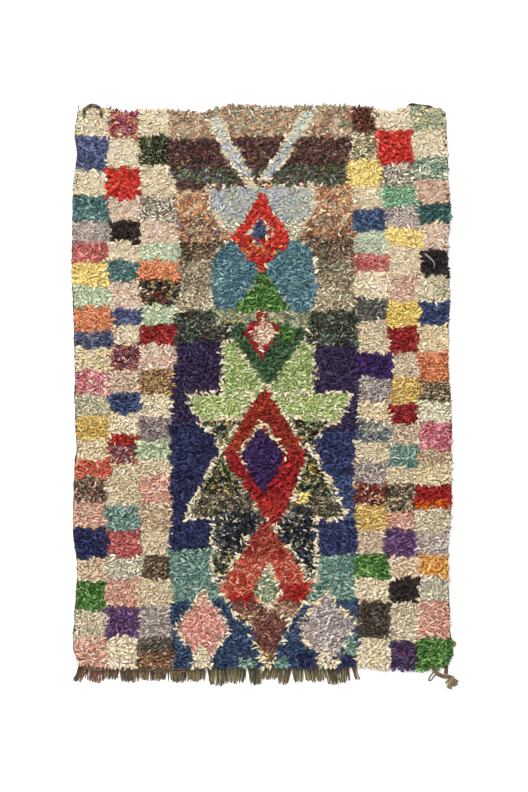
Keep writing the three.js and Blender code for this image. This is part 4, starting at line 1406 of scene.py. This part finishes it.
@dataclass
class GroundWeave:
    """The wool ground with the knots' roots on top: a thin sheet with a flat, woven back.

    Attributes:
        plan: The rug's outline.
        chart: The rug's design.
        step: The distance between its vertices.
        edge: Its thickness at the rim.
        bed: The height of the knots' roots between the tufts.
        fine_drop: How much lower that is for the finest cloth, for each share that it falls short by.
        deepen: How much lower it is past the rug's upper third, where the pile is more open.
        pale_rise: How much higher it is for white cloth, whose tufts lie closer towards the plain end.
    """

    plan: Plan
    chart: Chart
    step: float = 0.014
    edge: float = 0.005
    bed: float = 0.0142
    fine_drop: float = 0.018
    deepen: float = 0.0018
    pale_rise: float = 0.0042

    def build(self, roots: bpy.types.Material, back: bpy.types.Material) -> bpy.types.Object:
        """Makes the sheet.

        Args:
            roots: The material of the knots' roots.
            back: The material of the back and the sides.

        Returns:
            The sheet.
        """
        columns, rows = round(self.plan.width / self.step), round(self.plan.length / self.step)
        v, u = np.meshgrid(np.linspace(0, 1, rows + 1), np.linspace(0, 1, columns + 1), indexing="ij")
        x, y = self.plan.backing(u.ravel(), v.ravel())
        across, down = self.plan.chart_place(x, y)
        dice = np.random.default_rng(SEED + 20)
        rim = (np.minimum(u, 1 - u).ravel() < 1e-6) | (np.minimum(v, 1 - v).ravel() < 1e-6)
        cloths = self.chart.cloths_at(across, down)
        sizes = np.array([CLOTHS[name].size for name in self.chart.names])[cloths]
        pale = np.array([CLOTHS[name].palette().mean() for name in self.chart.names])[cloths]
        lumps = self.bed - self.deepen * np.clip((down - 60) / 40, 0, 1)
        lumps = lumps - self.fine_drop * np.clip(1 - sizes, 0, 1)
        lumps = lumps + self.pale_rise * pale * np.clip(1.4 - down / 100, 0, 1) * (sizes >= 1)
        lumps = lumps + 0.0012 * dice.uniform(-1, 1, len(x))
        height = np.where(rim, self.edge, lumps)
        tint = np.zeros((len(x), 3))
        for number, name in enumerate(self.chart.names):
            here = np.flatnonzero(cloths == number)
            palette = CLOTHS[name].palette()
            tint[here] = palette[dice.integers(0, len(palette), len(here))]
        tint = tint * np.exp(dice.normal(0, 0.1, (len(x), 1)))
        top = np.stack([x, y, height], -1)
        foot = np.stack([x, y, np.zeros_like(x)], -1)
        corner = (np.arange(rows)[:, None] * (columns + 1) + np.arange(columns)[None]).ravel()
        a, b, c, d = corner, corner + 1, corner + columns + 2, corner + columns + 1
        upper = np.concatenate([np.stack([a, b, c], -1), np.stack([a, c, d], -1)])
        lower = upper[:, ::-1] + len(x)
        ring = np.concatenate([
            np.arange(columns),
            columns + np.arange(rows) * (columns + 1),
            rows * (columns + 1) + columns - np.arange(columns),
            (rows - np.arange(rows)) * (columns + 1),
        ])
        after = np.roll(ring, -1)
        wall = np.concatenate([
            np.stack([ring + len(x), after + len(x), after], -1),
            np.stack([ring + len(x), after, ring], -1),
        ])
        flat = np.stack([u.ravel(), v.ravel()], -1)
        flat = np.concatenate([flat * [0.48, 0.98] + [0.01, 0.01], flat * [0.48, 0.98] + [0.51, 0.01]])
        store = MeshStore("ground_weave")
        points = np.concatenate([top, foot])
        # Painted shade: the top, seen only in the gaps between tufts, is darkened to at most 0.72 of its
        # cloth's colour, and dark cloth further; the back and sides keep the plain colour.
        tints = np.concatenate([tint * np.clip(0.25 + 0.9 * tint.mean(1, keepdims=True), 0, 0.72), tint])
        store.add(points, upper, tints, points * 100, flat[upper])
        under = np.concatenate([lower, wall])
        store.faces.append(under)
        store.corner_maps.append(flat[under])
        store.slots.append(np.full(len(under), 1))
        LOG.info("ground_weave: %d triangles", len(upper) + len(under))
        return store.build(self.plan.origin, [roots, back])


def distances(route: np.ndarray) -> np.ndarray:
    """How far along a route each of its points lies."""
    return np.concatenate([[0], np.cumsum(np.linalg.norm(np.diff(route, axis=0), axis=1))])


def beside(route: np.ndarray) -> tuple[np.ndarray, np.ndarray]:
    """Finds the level and the upright direction across a route.

    Args:
        route: Its points.

    Returns:
        The two unit vectors at each point.
    """
    run = np.gradient(route, axis=0)
    run /= np.linalg.norm(run, axis=1, keepdims=True)
    side = np.cross(run, np.array([0.0, 0.0, 1.0]))
    side /= np.maximum(np.linalg.norm(side, axis=1, keepdims=True), 1e-9)
    return side, np.cross(side, run)


@dataclass
class Spinner:
    """Makes yarns as tubes along routes, and collects them in one mesh.

    Attributes:
        store: The mesh that takes the yarns.
        dice: The source of the strays.
        sides: The number of sides of a yarn.
        expected: About how many yarns there will be, which share out the baked texture.
        spun: How many there are so far.
    """

    store: MeshStore
    dice: np.random.Generator
    sides: int = 6
    expected: int = 16
    spun: int = 0

    def spin(
        self, route: np.ndarray, radius: np.ndarray, tint: np.ndarray, squash: np.ndarray | float = 1.0
    ) -> None:
        """Adds one yarn.

        Args:
            route: The points that its middle follows.
            radius: Its radius at each of them.
            tint: Its linear colour.
            squash: Its height beside its width.
        """
        count, sides = len(route), self.sides
        side, up = beside(route)
        turn = np.arange(sides) / sides * math.tau
        lift = np.broadcast_to(squash, (count,))[:, None, None] * np.sin(turn)[None, :, None] * up[:, None]
        around = np.cos(turn)[None, :, None] * side[:, None] + lift
        radius = np.broadcast_to(radius, (count, sides) if np.ndim(radius) == 2 else (count,))
        reach = radius if radius.ndim == 2 else radius[:, None]
        points = route[:, None] + around * reach[..., None]
        here = (np.arange(count - 1)[:, None] * sides + np.arange(sides)[None]).ravel()
        after = (np.arange(count - 1)[:, None] * sides + (np.arange(sides)[None] + 1) % sides).ravel()
        wall = np.concatenate(
            [np.stack([here, after, after + sides], -1), np.stack([here, after + sides, here + sides], -1)]
        )
        fan = np.arange(1, sides - 1)
        start = np.stack([np.zeros_like(fan), fan + 1, fan], -1)
        end = np.stack([np.zeros_like(fan), fan, fan + 1], -1) + (count - 1) * sides
        faces = np.concatenate([wall, start, end])
        distance = distances(route)
        tone = np.exp(self.dice.normal(0, 0.12, (count, 1, 1)))
        tints = np.broadcast_to(tint, (count, sides, 3)) * tone
        places = np.zeros((count, sides, 3))
        places[..., 0] = turn[None] / math.tau
        places[..., 1] = distance[:, None]
        share = distance / distance[-1] * 0.96 + 0.02
        strip = 1 / self.expected
        low = (self.spun % self.expected) * strip
        a, b = here % sides / sides, (here % sides + 1) / sides
        ring = here // sides
        bottom, top = (low + strip * (0.05 + 0.9 * part) for part in (a, b))
        corners = ((ring, bottom), (ring, top), (ring + 1, top), (ring + 1, bottom))
        one, two, three, four = (np.stack([share[along], edge], -1) for along, edge in corners)
        first, second = np.stack([one, two, three], 1), np.stack([one, three, four], 1)
        disc = np.stack([np.cos(turn), np.sin(turn)], -1) * 0.3 + 0.5
        small = np.array([0.015, strip * 0.9])
        caps = [disc[start] * small + [0.0, low], disc[end - (count - 1) * sides] * small + [0.985, low]]
        corner_map = np.concatenate([first, second, *caps])
        self.store.add(points.reshape(-1, 3), faces, tints.reshape(-1, 3), places.reshape(-1, 3), corner_map)
        self.spun += 1

    def ply(
        self, route: np.ndarray, wide: np.ndarray, tints: list[np.ndarray], pitch: float, plies: int = 2
    ) -> None:
        """Adds a twisted yarn of several plies.

        Args:
            route: The points that its middle follows, close together.
            wide: Its whole width at each of them.
            tints: The plies' linear colours.
            pitch: The length of one turn.
            plies: The number of plies.
        """
        side, up = beside(route)
        distance = distances(route)
        radius = wide * (0.29 if plies == 2 else 0.28)
        offset = wide / 2 - radius
        for ply in range(plies):
            turn = distance / pitch * math.tau + ply / plies * math.tau
            around = np.cos(turn)[:, None] * side + np.sin(turn)[:, None] * up
            self.spin(route + around * offset[:, None], radius * 1.05, tints[ply % len(tints)])

    def build(self, origin: tuple[float, float], finish: bpy.types.Material) -> bpy.types.Object:
        """Makes one piece of the yarns, and reports it.

        Args:
            origin: The rug's middle in the frame.
            finish: The wool's material.

        Returns:
            The piece.
        """
        LOG.info("%s: %d yarns, %d triangles", self.store.name, self.spun, sum(map(len, self.store.faces)))
        return self.store.build(origin, [finish])


def smooth_route(points: np.ndarray, steps: int) -> np.ndarray:
    """Runs a smooth curve through a few points.

    Args:
        points: The points, as rows.
        steps: The number of points wanted.

    Returns:
        The curve's points, evenly shared out between the given ones.
    """
    places = np.linspace(0, len(points) - 1, steps)
    index = np.clip(np.floor(places).astype(int), 0, len(points) - 2)
    share = (places - index)[:, None]
    padded = np.vstack([2 * points[0] - points[1], points, 2 * points[-1] - points[-2]])
    before, here, after, beyond = (padded[index + offset] for offset in range(4))
    return 0.5 * (
        2 * here
        + (after - before) * share
        + (2 * before - 5 * here + 4 * after - beyond) * share**2
        + (3 * here - before - 3 * after + beyond) * share**3
    )


# The same holds for the first four of these
WOOL = {
    "olive": "756747 635637 847752 53482f 92875f 493e28 a0946d",
    "brown": "6d5436 5e462c 7e6644 4f3a24 8c7450",
    "grey_brown": "72634f 635542 82735d 554838",
    "dark_red": "774131 673729 89513f 5d402c",
    "dark": "3e3022 33271b 4a3b2b 2a2016",
    "tan": "8a7658 7a6648 9c8868 6a583e",
}


def wool_tint(name: str, dice: np.random.Generator) -> np.ndarray:
    """Picks one shade of a wool as a linear colour."""
    shades = WOOL[name].split()
    return np.array(linear(shades[dice.integers(len(shades))]))


@dataclass
class Selvedge:
    """The overcast wool along one side: turns of yarn over the outermost warps.

    Attributes:
        plan: The rug's outline.
        side: -1 on the left and 1 on the right.
        width: Its mean width.
        height: Its height.
        pitch: The distance from one turn to the next.
        slack: How far it stands off the backing.
        tail: On the right, the flat of bare weave beside the corner's warps: x, y and width.
    """

    plan: Plan
    side: int
    width: float = 0.0098
    height: float = 0.006
    pitch: float = 0.0065
    slack: float = 0.00055
    tail: tuple[tuple[float, float, float], ...] = ((0.647, -1.0042, 0.016), (0.649, -0.986, 0.013))

    def build(self, finish: bpy.types.Material) -> bpy.types.Object:
        """Makes the selvedge in its material."""
        name = "overcast_left" if self.side < 0 else "overcast_right"
        dice = np.random.default_rng(SEED + 30 + self.side)
        count = round(self.plan.length / self.pitch * 4)
        v = np.linspace(0, 1, count)
        x, y = self.plan.backing(np.full(count, 0.0 if self.side < 0 else 1.0), v)
        lumps = 0.5 * wander(v * 100, v, 1.7, SEED + 31) + 0.8 * wander(v * 100, v, 0.55, SEED + 35) ** 2
        wide = self.width * (0.9 + 0.4 * lumps)
        route = np.stack([x + self.side * (self.slack + wide / 2), y, np.full(count, self.height / 2)], -1)
        if self.side > 0:
            corner = np.array([(px, py, self.height / 2) for px, py, _ in self.tail])
            route = np.vstack([smooth_route(np.vstack([corner, route[:1]]), 14)[:-1], route])
            ends = [self.tail[0][2], self.tail[1][2], wide[0]]
            wide = np.concatenate([np.interp(np.linspace(0, 2, 14)[:-1], [0, 1, 2], ends), wide])
        distance = distances(route)
        spinner = Spinner(MeshStore(name), dice, sides=8, expected=1)
        turn = np.arange(8) / 8
        wave = np.cos((distance[:, None] / self.pitch + turn[None]) * math.tau)
        radius = wide[:, None] / 2 * (0.93 + 0.1 * wave)
        spinner.spin(route, radius, wool_tint("grey_brown", dice), 0.96 * self.height / wide)
        tones = np.exp(0.22 * wander(distance, distance * 0, 0.03, SEED + 33))[:, None, None]
        brown, grey = (np.array(linear(shade)) for shade in ("4a3a2a", "6a5946"))
        blend = (0.5 + 0.5 * wander(distance, distance * 0, 0.12, SEED + 34))[:, None, None]
        # Painted shade: the turns are lighter where they bulge and darker between them, by the same wave
        # that sets their radius.
        tints = (brown * (1 - blend) + grey * blend) * tones * (0.85 + 0.25 * wave[..., None])
        spinner.store.tints = [tints.reshape(-1, 3)]
        return spinner.build(self.plan.origin, finish)


@dataclass(frozen=True)
class Bunch:
    """A bunch of the fringe, in millimetres: its root's ends, its reach, its tips' lean and its wool."""

    left: float
    right: float
    reach: float
    lean: float
    wool: str = "olive"


BUNCHES = (
    Bunch(-640, -602, 47, -26, "dark_red"),
    Bunch(-606, -548, 46, -9, "dark_red"),
    Bunch(-549, -499, 34, -3, "brown"),
    Bunch(-496, -426, 42, 2, "brown"),
    Bunch(-426, -326, 38, -2, "brown"),
    Bunch(-326, -272, 45, 3, "brown"),
    Bunch(-272, -192, 40, -2),
    Bunch(-188, -124, 54, 1),
    Bunch(-124, -52, 47, -3),
    Bunch(-48, -2, 52, 8),
    Bunch(4, 64, 34, -7),
    Bunch(68, 108, 50, -12),
    Bunch(110, 146, 46, 4),
    Bunch(148, 218, 42, 5),
    Bunch(220, 272, 52, 12),
    Bunch(274, 310, 44, 2),
    Bunch(316, 332, 40, 14),
)


@dataclass
class Fringe:
    """The warp ends at the bottom: bunches of handspun yarn that lie on the floor.

    Attributes:
        plan: The rug's outline.
        yarn: The thickness of one yarn.
        pitch: The distance between yarns in a bunch.
        root: How far above the strip's middle the yarns start, under the pile's rim.
        strip: How far the strip's middle lies past the backing.
        wefts: Where each weft past the pile starts and ends, in millimetres, from the pile outwards.
        weft_pitch: The distance between them.
        weft_height: The height at which they run.
        loose: How much longer the yarns are than their bunch's reach, in millimetres.
        frayed_to: How far to the right the tips stray more.
    """

    plan: Plan
    yarn: float = 0.0035
    pitch: float = 0.0029
    root: float = 0.003
    strip: float = 0.0033
    wefts: tuple[tuple[float, float], ...] = (
        (-640, 330), (-642, -190), (-620, -222), (-480, -236), (-380, -252),
    )
    weft_pitch: float = 0.0038
    weft_height: float = 0.0066
    loose: float = 9.0
    frayed_to: float = -0.2

    def build(self, finish: bpy.types.Material) -> bpy.types.Object:
        """Makes the fringe in its material."""
        dice = np.random.default_rng(SEED + 40)
        spinner = Spinner(MeshStore("fringe_yarns"), dice, sides=6, expected=400)
        edge = -self.plan.length / 2 + self.plan.reach
        for bunch in BUNCHES:
            span = (bunch.right - bunch.left) * MM
            for layer in range(2):
                for place in np.arange(layer * 0.5, span / self.pitch - layer, 1.0):
                    share = place * self.pitch / span
                    self.lay(spinner, bunch, share, layer, edge)
        for row, (start, end) in enumerate(self.wefts):
            self.weave(spinner, start * MM, end * MM, row, edge)
        return spinner.build(self.plan.origin, finish)

    def weave(self, spinner: Spinner, start: float, end: float, row: int, edge: float) -> None:
        """Runs one weft through the warps past the pile's end.

        Args:
            spinner: The spinner that makes it.
            start: Its left end.
            end: Its right end.
            row: Its number, from the pile outwards.
            edge: The nominal edge of the backing.
        """
        x = np.linspace(start, end, max(4, round((end - start) / 0.006)))
        y = edge - self.plan.bottom.along(x) - 0.006 - self.weft_pitch * row
        y = y + 0.0022 * wander(x * 100, x * 0 + 9 * row, 1.7, SEED + 41)
        over = 0.0014 * np.where(np.arange(len(x)) % 2 == row % 2, 1, -1)
        route = np.stack([x, y, self.weft_height + over], -1)
        mottled = np.exp(0.5 * wander(x * 100, x * 0 + 9 * row, 2.5, SEED + 42))[:, None, None]
        radius = self.yarn * 0.55 * (1 + 0.3 * wander(x * 100, x * 0 + 9 * row, 1.1, SEED + 43))
        wool = "brown" if row % 2 else "grey_brown"
        spinner.spin(route, radius, wool_tint(wool, spinner.dice) * 0.8 * mottled)

    def lay(self, spinner: Spinner, bunch: Bunch, share: float, layer: int, edge: float) -> None:
        """Lays one yarn.

        Args:
            spinner: The spinner that makes it.
            bunch: Its bunch.
            share: Its place in the bunch, from the left.
            layer: 0 on the floor, 1 on the yarns below.
            edge: The nominal edge of the backing.
        """
        dice = spinner.dice
        x = (bunch.left + (bunch.right - bunch.left) * share + dice.normal(0, 0.6)) * MM
        y = edge - float(self.plan.bottom.along(np.array(x))) - self.strip
        reach = (bunch.reach + self.loose) * MM * dice.uniform(0.86, 1.1)
        reach *= 1 - 0.1 * abs(2 * share - 1) ** 3
        span = (bunch.right - bunch.left) * MM
        tip = bunch.lean * MM + (0.5 - share) * min(span, 0.05) * 0.14
        tip += dice.normal(0, 0.0036 if x > self.frayed_to else 0.0064)
        sway = dice.normal(0, 0.0012)
        steps = np.linspace(0, 1, 7)
        height = self.yarn / 2 + layer * self.yarn * 0.72 * (1 - steps**2)
        route = np.stack([
            x + tip * steps**1.3 + sway * np.sin(steps * math.pi * 1.5),
            y + self.root - (reach + self.root + 0.003) * steps,
            height + 0.0006 * (1 - steps),
        ], -1)
        radius = self.yarn / 2 * dice.uniform(0.85, 1.2) * np.interp(steps, [0, 0.8, 1], [1, 0.95, 0.4])
        wool = bunch.wool if dice.uniform() < 0.7 else ("brown" if dice.uniform() < 0.5 else "grey_brown")
        # Painted shade: each yarn is darkest at its root under the pile's rim and grows lighter towards its
        # tip.
        shade = np.interp(steps, [0.0, 0.3, 0.6, 1.0], [0.45, 0.62, 0.9, 1.1])[:, None, None]
        spinner.spin(route, radius, wool_tint(wool, dice) * dice.uniform(0.25, 1.5) * shade)


@dataclass
class CornerTassel:
    """The last warps of the bottom right corner, twisted, knotted and left as a tassel."""

    plan: Plan
    route: tuple[tuple[float, float, float], ...] = (
        (594, -970, 12), (606, -990, 15), (620, -1005, 17),
        (640, -1013, 17), (658, -1014, 17), (668, -1020, 15),
    )
    tips: tuple[tuple[float, float], ...] = (
        (643, -1036), (650, -1048), (658, -1056), (666, -1059), (676, -1050), (686, -1042), (691, -1031),
    )
    loop: tuple[tuple[float, float], ...] = (
        (612, -992), (600, -1003), (589, -1018), (587, -1028), (596, -1026), (605, -1013), (618, -1002),
    )

    def build(self, finish: bpy.types.Material) -> bpy.types.Object:
        """Makes the tassel in its material."""
        dice = np.random.default_rng(SEED + 50)
        spinner = Spinner(MeshStore("tassel_yarns"), dice, sides=7, expected=48)
        stations = smooth_route(np.array(self.route) * MM, 60)
        wide = np.minimum(stations[:, 2], 0.0148)
        route = np.stack([stations[:, 0], stations[:, 1], wide / 2 + 0.0003], -1)
        tints = [wool_tint(wool, dice) for wool in ("brown", "tan", "grey_brown")]
        spinner.ply(route, wide, tints, 0.034, plies=3)
        self.knot(spinner, route[-1])
        for x, y in self.tips:
            for _ in range(5):
                self.end(spinner, route[-1], np.array([x, y]) * MM + dice.normal(0, 0.0022, 2))
        loop = smooth_route(np.array(self.loop) * MM, 40)
        loop = np.column_stack([loop, np.full(len(loop), 0.0028)])
        tints = [wool_tint("brown", dice), wool_tint("tan", dice)]
        spinner.ply(loop, np.full(len(loop), 0.0054), tints, 0.011)
        return spinner.build(self.plan.origin, finish)

    def knot(self, spinner: Spinner, middle: np.ndarray) -> None:
        """Winds the knot's turns round the end of the twisted warps.

        Args:
            spinner: The spinner that makes it.
            middle: The knot's middle.
        """
        run = np.array([0.75, -0.66, 0.0])
        side = np.array([0.66, 0.75, 0.0])
        turn = np.linspace(0, 2.6 * math.tau, 46)
        along = np.linspace(-0.0055, 0.0055, 46)
        wide, high = 0.0078, 0.0052
        route = middle + run * along[:, None] + side * (wide * np.cos(turn))[:, None]
        route[:, 2] = 0.0076 + high * np.sin(turn) * 0.95
        spinner.spin(route, np.full(46, 0.0024), wool_tint("tan", spinner.dice))

    def end(self, spinner: Spinner, root: np.ndarray, tip: np.ndarray) -> None:
        """Lays one cut end of the tassel.

        Args:
            spinner: The spinner that makes it.
            root: Where it leaves the knot.
            tip: Where it ends on the floor.
        """
        dice = spinner.dice
        steps = np.linspace(0, 1, 9)
        reach = tip - root[:2]
        bow = np.array([-reach[1], reach[0]]) * dice.normal(0, 0.08)
        flat = root[:2] + reach * steps[:, None] + bow * np.sin(steps * math.pi)[:, None]
        height = np.interp(steps, [0, 0.25, 0.8, 1], [0.0065, 0.0068, 0.0026, 0.0022])
        height = height * dice.uniform(0.85, 1.15)
        radius = 0.0021 * np.interp(steps, [0, 0.3, 0.85, 1], [0.8, 1.0, 1.0, 0.45])
        height = np.maximum(height, radius)
        tint = wool_tint("tan" if dice.uniform() < 0.6 else "olive", dice)
        spinner.spin(np.column_stack([flat, height]), radius, tint)


@dataclass
class CornerLoop:
    """The doubled dark yarn that springs out of the pile at the plain end's left corner."""

    plan: Plan
    shape: LoopRoute = LoopRoute()

    def build(self, finish: bpy.types.Material) -> bpy.types.Object:
        """Makes the loop in its material."""
        dice = np.random.default_rng(SEED + 60)
        shape = self.shape
        turn = np.radians(np.linspace(shape.start, shape.end, 70))
        lift = np.maximum(np.sin(turn), 0)
        route = np.stack([
            shape.x + shape.half_span * np.cos(turn),
            shape.y + shape.rise * np.sin(turn),
            shape.pile - shape.drop * lift + shape.high / 2 + 0.002,
        ], -1)
        wide = (shape.leg + (shape.crown - shape.leg) * lift) * shape.fluff
        spinner = Spinner(MeshStore("loop_yarns"), dice, sides=7, expected=3)
        tints = [wool_tint(wool, dice) for wool in ("dark", "brown", "grey_brown")]
        spinner.ply(route, wide, tints, 0.03, 3)
        return spinner.build(self.plan.origin, finish)


@dataclass
class WarpEnd:
    """A dark warp end along the plain end's right corner, which hooks back into the pile."""

    plan: Plan
    route: tuple[tuple[float, float, float], ...] = (
        (602, 966, 6), (594, 983, 3), (572, 987, 1), (548, 990, 1),
        (528, 993, 2), (516, 987, 5), (516, 975, 9), (524, 965, 12),
    )
    wide: float = 0.009

    def build(self, finish: bpy.types.Material) -> bpy.types.Object:
        """Makes the warp end in its material."""
        dice = np.random.default_rng(SEED + 70)
        route = smooth_route(np.array(self.route) * MM, 70) + np.array([0, 0, self.wide / 2])
        spinner = Spinner(MeshStore("warp_end_yarns"), dice, sides=7, expected=3)
        tints = [wool_tint("dark", dice) for _ in range(3)]
        spinner.ply(route, np.full(len(route), self.wide), tints, 0.028, 3)
        return spinner.build(self.plan.origin, finish)


@dataclass
class LooseBits:
    """Odd ends that lie on the pile: a pale strip, a bobble at the right edge and short bits of yarn.

    Attributes:
        plan: The rug's outline.
        strip: The pale strip's places and heights, in millimetres.
        strip_width: Its width.
        bits: The yarn bits' two ends, in millimetres.
        threads: The same for the thin threads that stand out past the plain end.
        bobble: The bobble's middle, in millimetres.
    """

    plan: Plan
    strip: tuple[tuple[float, float, float], ...] = (
        (571, 468, 22), (579, 461, 24), (590, 452, 24.5), (601, 440, 24.5), (605, 427, 24), (602, 416, 22),
    )
    strip_width: float = 0.0068
    bits: tuple[tuple[float, float, float, float], ...] = ((392, 962, 404, 954), (398, 946, 412, 951))
    threads: tuple[tuple[float, float, float, float], ...] = (
        (-640, 950, -644, 992), (-648, 962, -641, 990), (-548, 975, -541, 996),
    )
    bobble: tuple[float, float] = (676, -898)

    def build(self, finish: bpy.types.Material) -> bpy.types.Object:
        """Makes the odd ends in their material."""
        dice = np.random.default_rng(SEED + 80)
        spinner = Spinner(MeshStore("loose_bits"), dice, sides=8, expected=6)
        route = smooth_route(np.array(self.strip) * MM, 30)
        girth = np.interp(np.linspace(0, 1, 30), [0, 0.12, 0.5, 1], [0.6, 1.3, 0.85, 0.3])
        spinner.spin(route, self.strip_width / 2 * girth, np.array(linear("7b8183")), 0.3)
        for x0, y0, x1, y1 in self.bits:
            ends = np.array([(x0, y0, 23), ((x0 + x1) / 2 + 1, (y0 + y1) / 2 + 1, 25), (x1, y1, 23)]) * MM
            spinner.spin(smooth_route(ends, 12), np.full(12, 0.0018), wool_tint("dark", dice))
        for x0, y0, x1, y1 in self.threads:
            ends = np.array([(x0, y0, 17), ((x0 + x1) / 2 + 2, (y0 + y1) / 2, 14), (x1, y1, 3)]) * MM
            spinner.spin(smooth_route(ends, 12), np.full(12, 0.0009), wool_tint("grey_brown", dice))
        turn = np.linspace(0, math.pi, 12)
        middle = np.array([*self.bobble, 7.5]) * MM
        ball = middle + np.array([0, -0.0095, 0]) * np.cos(turn)[:, None]
        spinner.spin(ball, 0.0072 * np.maximum(np.sin(turn), 0.12), wool_tint("tan", dice))
        return spinner.build(self.plan.origin, finish)


@dataclass
class Studio:
    """The floor, the light and the camera.

    Attributes:
        plan: The rug's outline.
        tall: The height that the photograph shows at the pile, in metres.
        distance: The camera's height.
        sensor: The camera's sensor along the picture's height, in millimetres.
        aim: Where the picture's middle lies, measured from the rug's.
        pile: The height at which tall is measured.
        floor_half: Half of the floor's width.
        surround: The strength of the surround's light.
        sun: The strength of the broad light.
        sun_spread: The angle that it fills, in degrees.
        sun_tilt: Its tilt about x and y, in degrees.
    """

    plan: Plan
    tall: float = 2.772
    distance: float = 6.5
    sensor: float = 36.0
    aim: tuple[float, float] = (0.0088, -0.0298)
    pile: float = 0.018
    floor_half: float = 12.0
    surround: float = 1.06
    sun: float = 2.0
    sun_spread: float = 50.0
    sun_tilt: tuple[float, float] = (-32.0, -24.0)

    def build(self) -> None:
        """Sets up the whole studio."""
        self.floor()
        self.light()
        self.camera()

    def floor(self) -> None:
        """Lays the floor."""
        mesh = bpy.data.meshes.new("studio_floor")
        half = self.floor_half
        corners = [(-half, -half, 0), (half, -half, 0), (half, half, 0), (-half, half, 0)]
        mesh.from_pydata(corners, [], [(0, 1, 2, 3)])
        mesh.materials.append(FloorFinish().make("pale_floor"))
        floor = bpy.data.objects.new("studio_floor", mesh)
        bpy.context.scene.collection.objects.link(floor)
        floor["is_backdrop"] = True

    def light(self) -> None:
        """Hangs a broad soft light over the plain end's left, in a pale surround."""
        scene = bpy.context.scene
        scene.view_settings.view_transform = "Standard"
        scene.world = bpy.data.worlds.new("studio")
        scene.world.use_nodes = True
        surround = scene.world.node_tree.nodes["Background"]
        surround.inputs["Color"].default_value = (1.0, 1.0, 1.0, 1)
        surround.inputs["Strength"].default_value = self.surround
        sun = bpy.data.lights.new("soft_sun", "SUN")
        sun.energy = self.sun
        sun.angle = math.radians(self.sun_spread)
        lamp = bpy.data.objects.new("soft_sun", sun)
        lamp.rotation_euler = (*map(math.radians, self.sun_tilt), 0)
        scene.collection.objects.link(lamp)

    def camera(self) -> None:
        """Hangs the camera straight over the rug."""
        data = bpy.data.cameras.new("camera")
        data.sensor_width = self.sensor
        data.lens = self.sensor * (self.distance - self.pile) / self.tall
        camera = bpy.data.objects.new("camera", data)
        middle = self.plan.origin
        camera.location = (middle[0] + self.aim[0], middle[1] + self.aim[1], self.distance)
        bpy.context.scene.collection.objects.link(camera)
        bpy.context.scene.camera = camera


def declare(piece: bpy.types.Object, slot: Slot, *nodes: str) -> None:
    """Attaches a piece to the root body and hides the CAD nodes that it replaces.

    Args:
        piece: The piece.
        slot: Not used.
        nodes: The CAD nodes that it replaces.
    """
    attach(piece, "root")
    if nodes:
        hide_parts(*nodes)


def main() -> None:
    """Builds the rug, attaches its pieces to the root body and hides the CAD parts that they replace, and
    sets up the studio.
    """
    logging.basicConfig(level=logging.INFO, format="%(message)s")
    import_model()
    frame_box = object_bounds()
    plan, chart = Plan.from_frame(), Chart()
    LOG.info("rug's middle at %.4f, %.4f", *plan.origin)
    rag, wool = RagFinish().make("torn_rag"), WoolFinish().make("handspun_wool")
    ground = GroundWeave(plan, chart).build(rag, WeaveFinish().make("ground_weave"))
    declare(ground, Slot.GROUND, "pile_slab")
    pile = Pile(plan, chart).build(rag)
    for piece in pile:
        declare(piece, Slot.PILE, "pile_slab")
    trims = (
        (Selvedge(plan, -1), Slot.GROUND, "selvedge_left"),
        (Selvedge(plan, 1), Slot.GROUND, "selvedge_right"),
        (Fringe(plan), Slot.WARP, "warp_fringe"),
        (CornerTassel(plan), Slot.WARP, "corner_tassel"),
        (CornerLoop(plan), Slot.DARK, "corner_loop"),
        (WarpEnd(plan), Slot.DARK, "corner_warp_end"),
        (LooseBits(plan), Slot.PILE, "pile_slab"),
    )
    for trim, slot, node in trims:
        piece = trim.build(wool)
        declare(piece, slot, node)
    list(pile)
    Studio(plan).build()
    boxes = {"cad": frame_box, "visual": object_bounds()}
    {name: [list(corner) for corner in box] for name, box in boxes.items()}


if __name__ == "__main__":
    main()
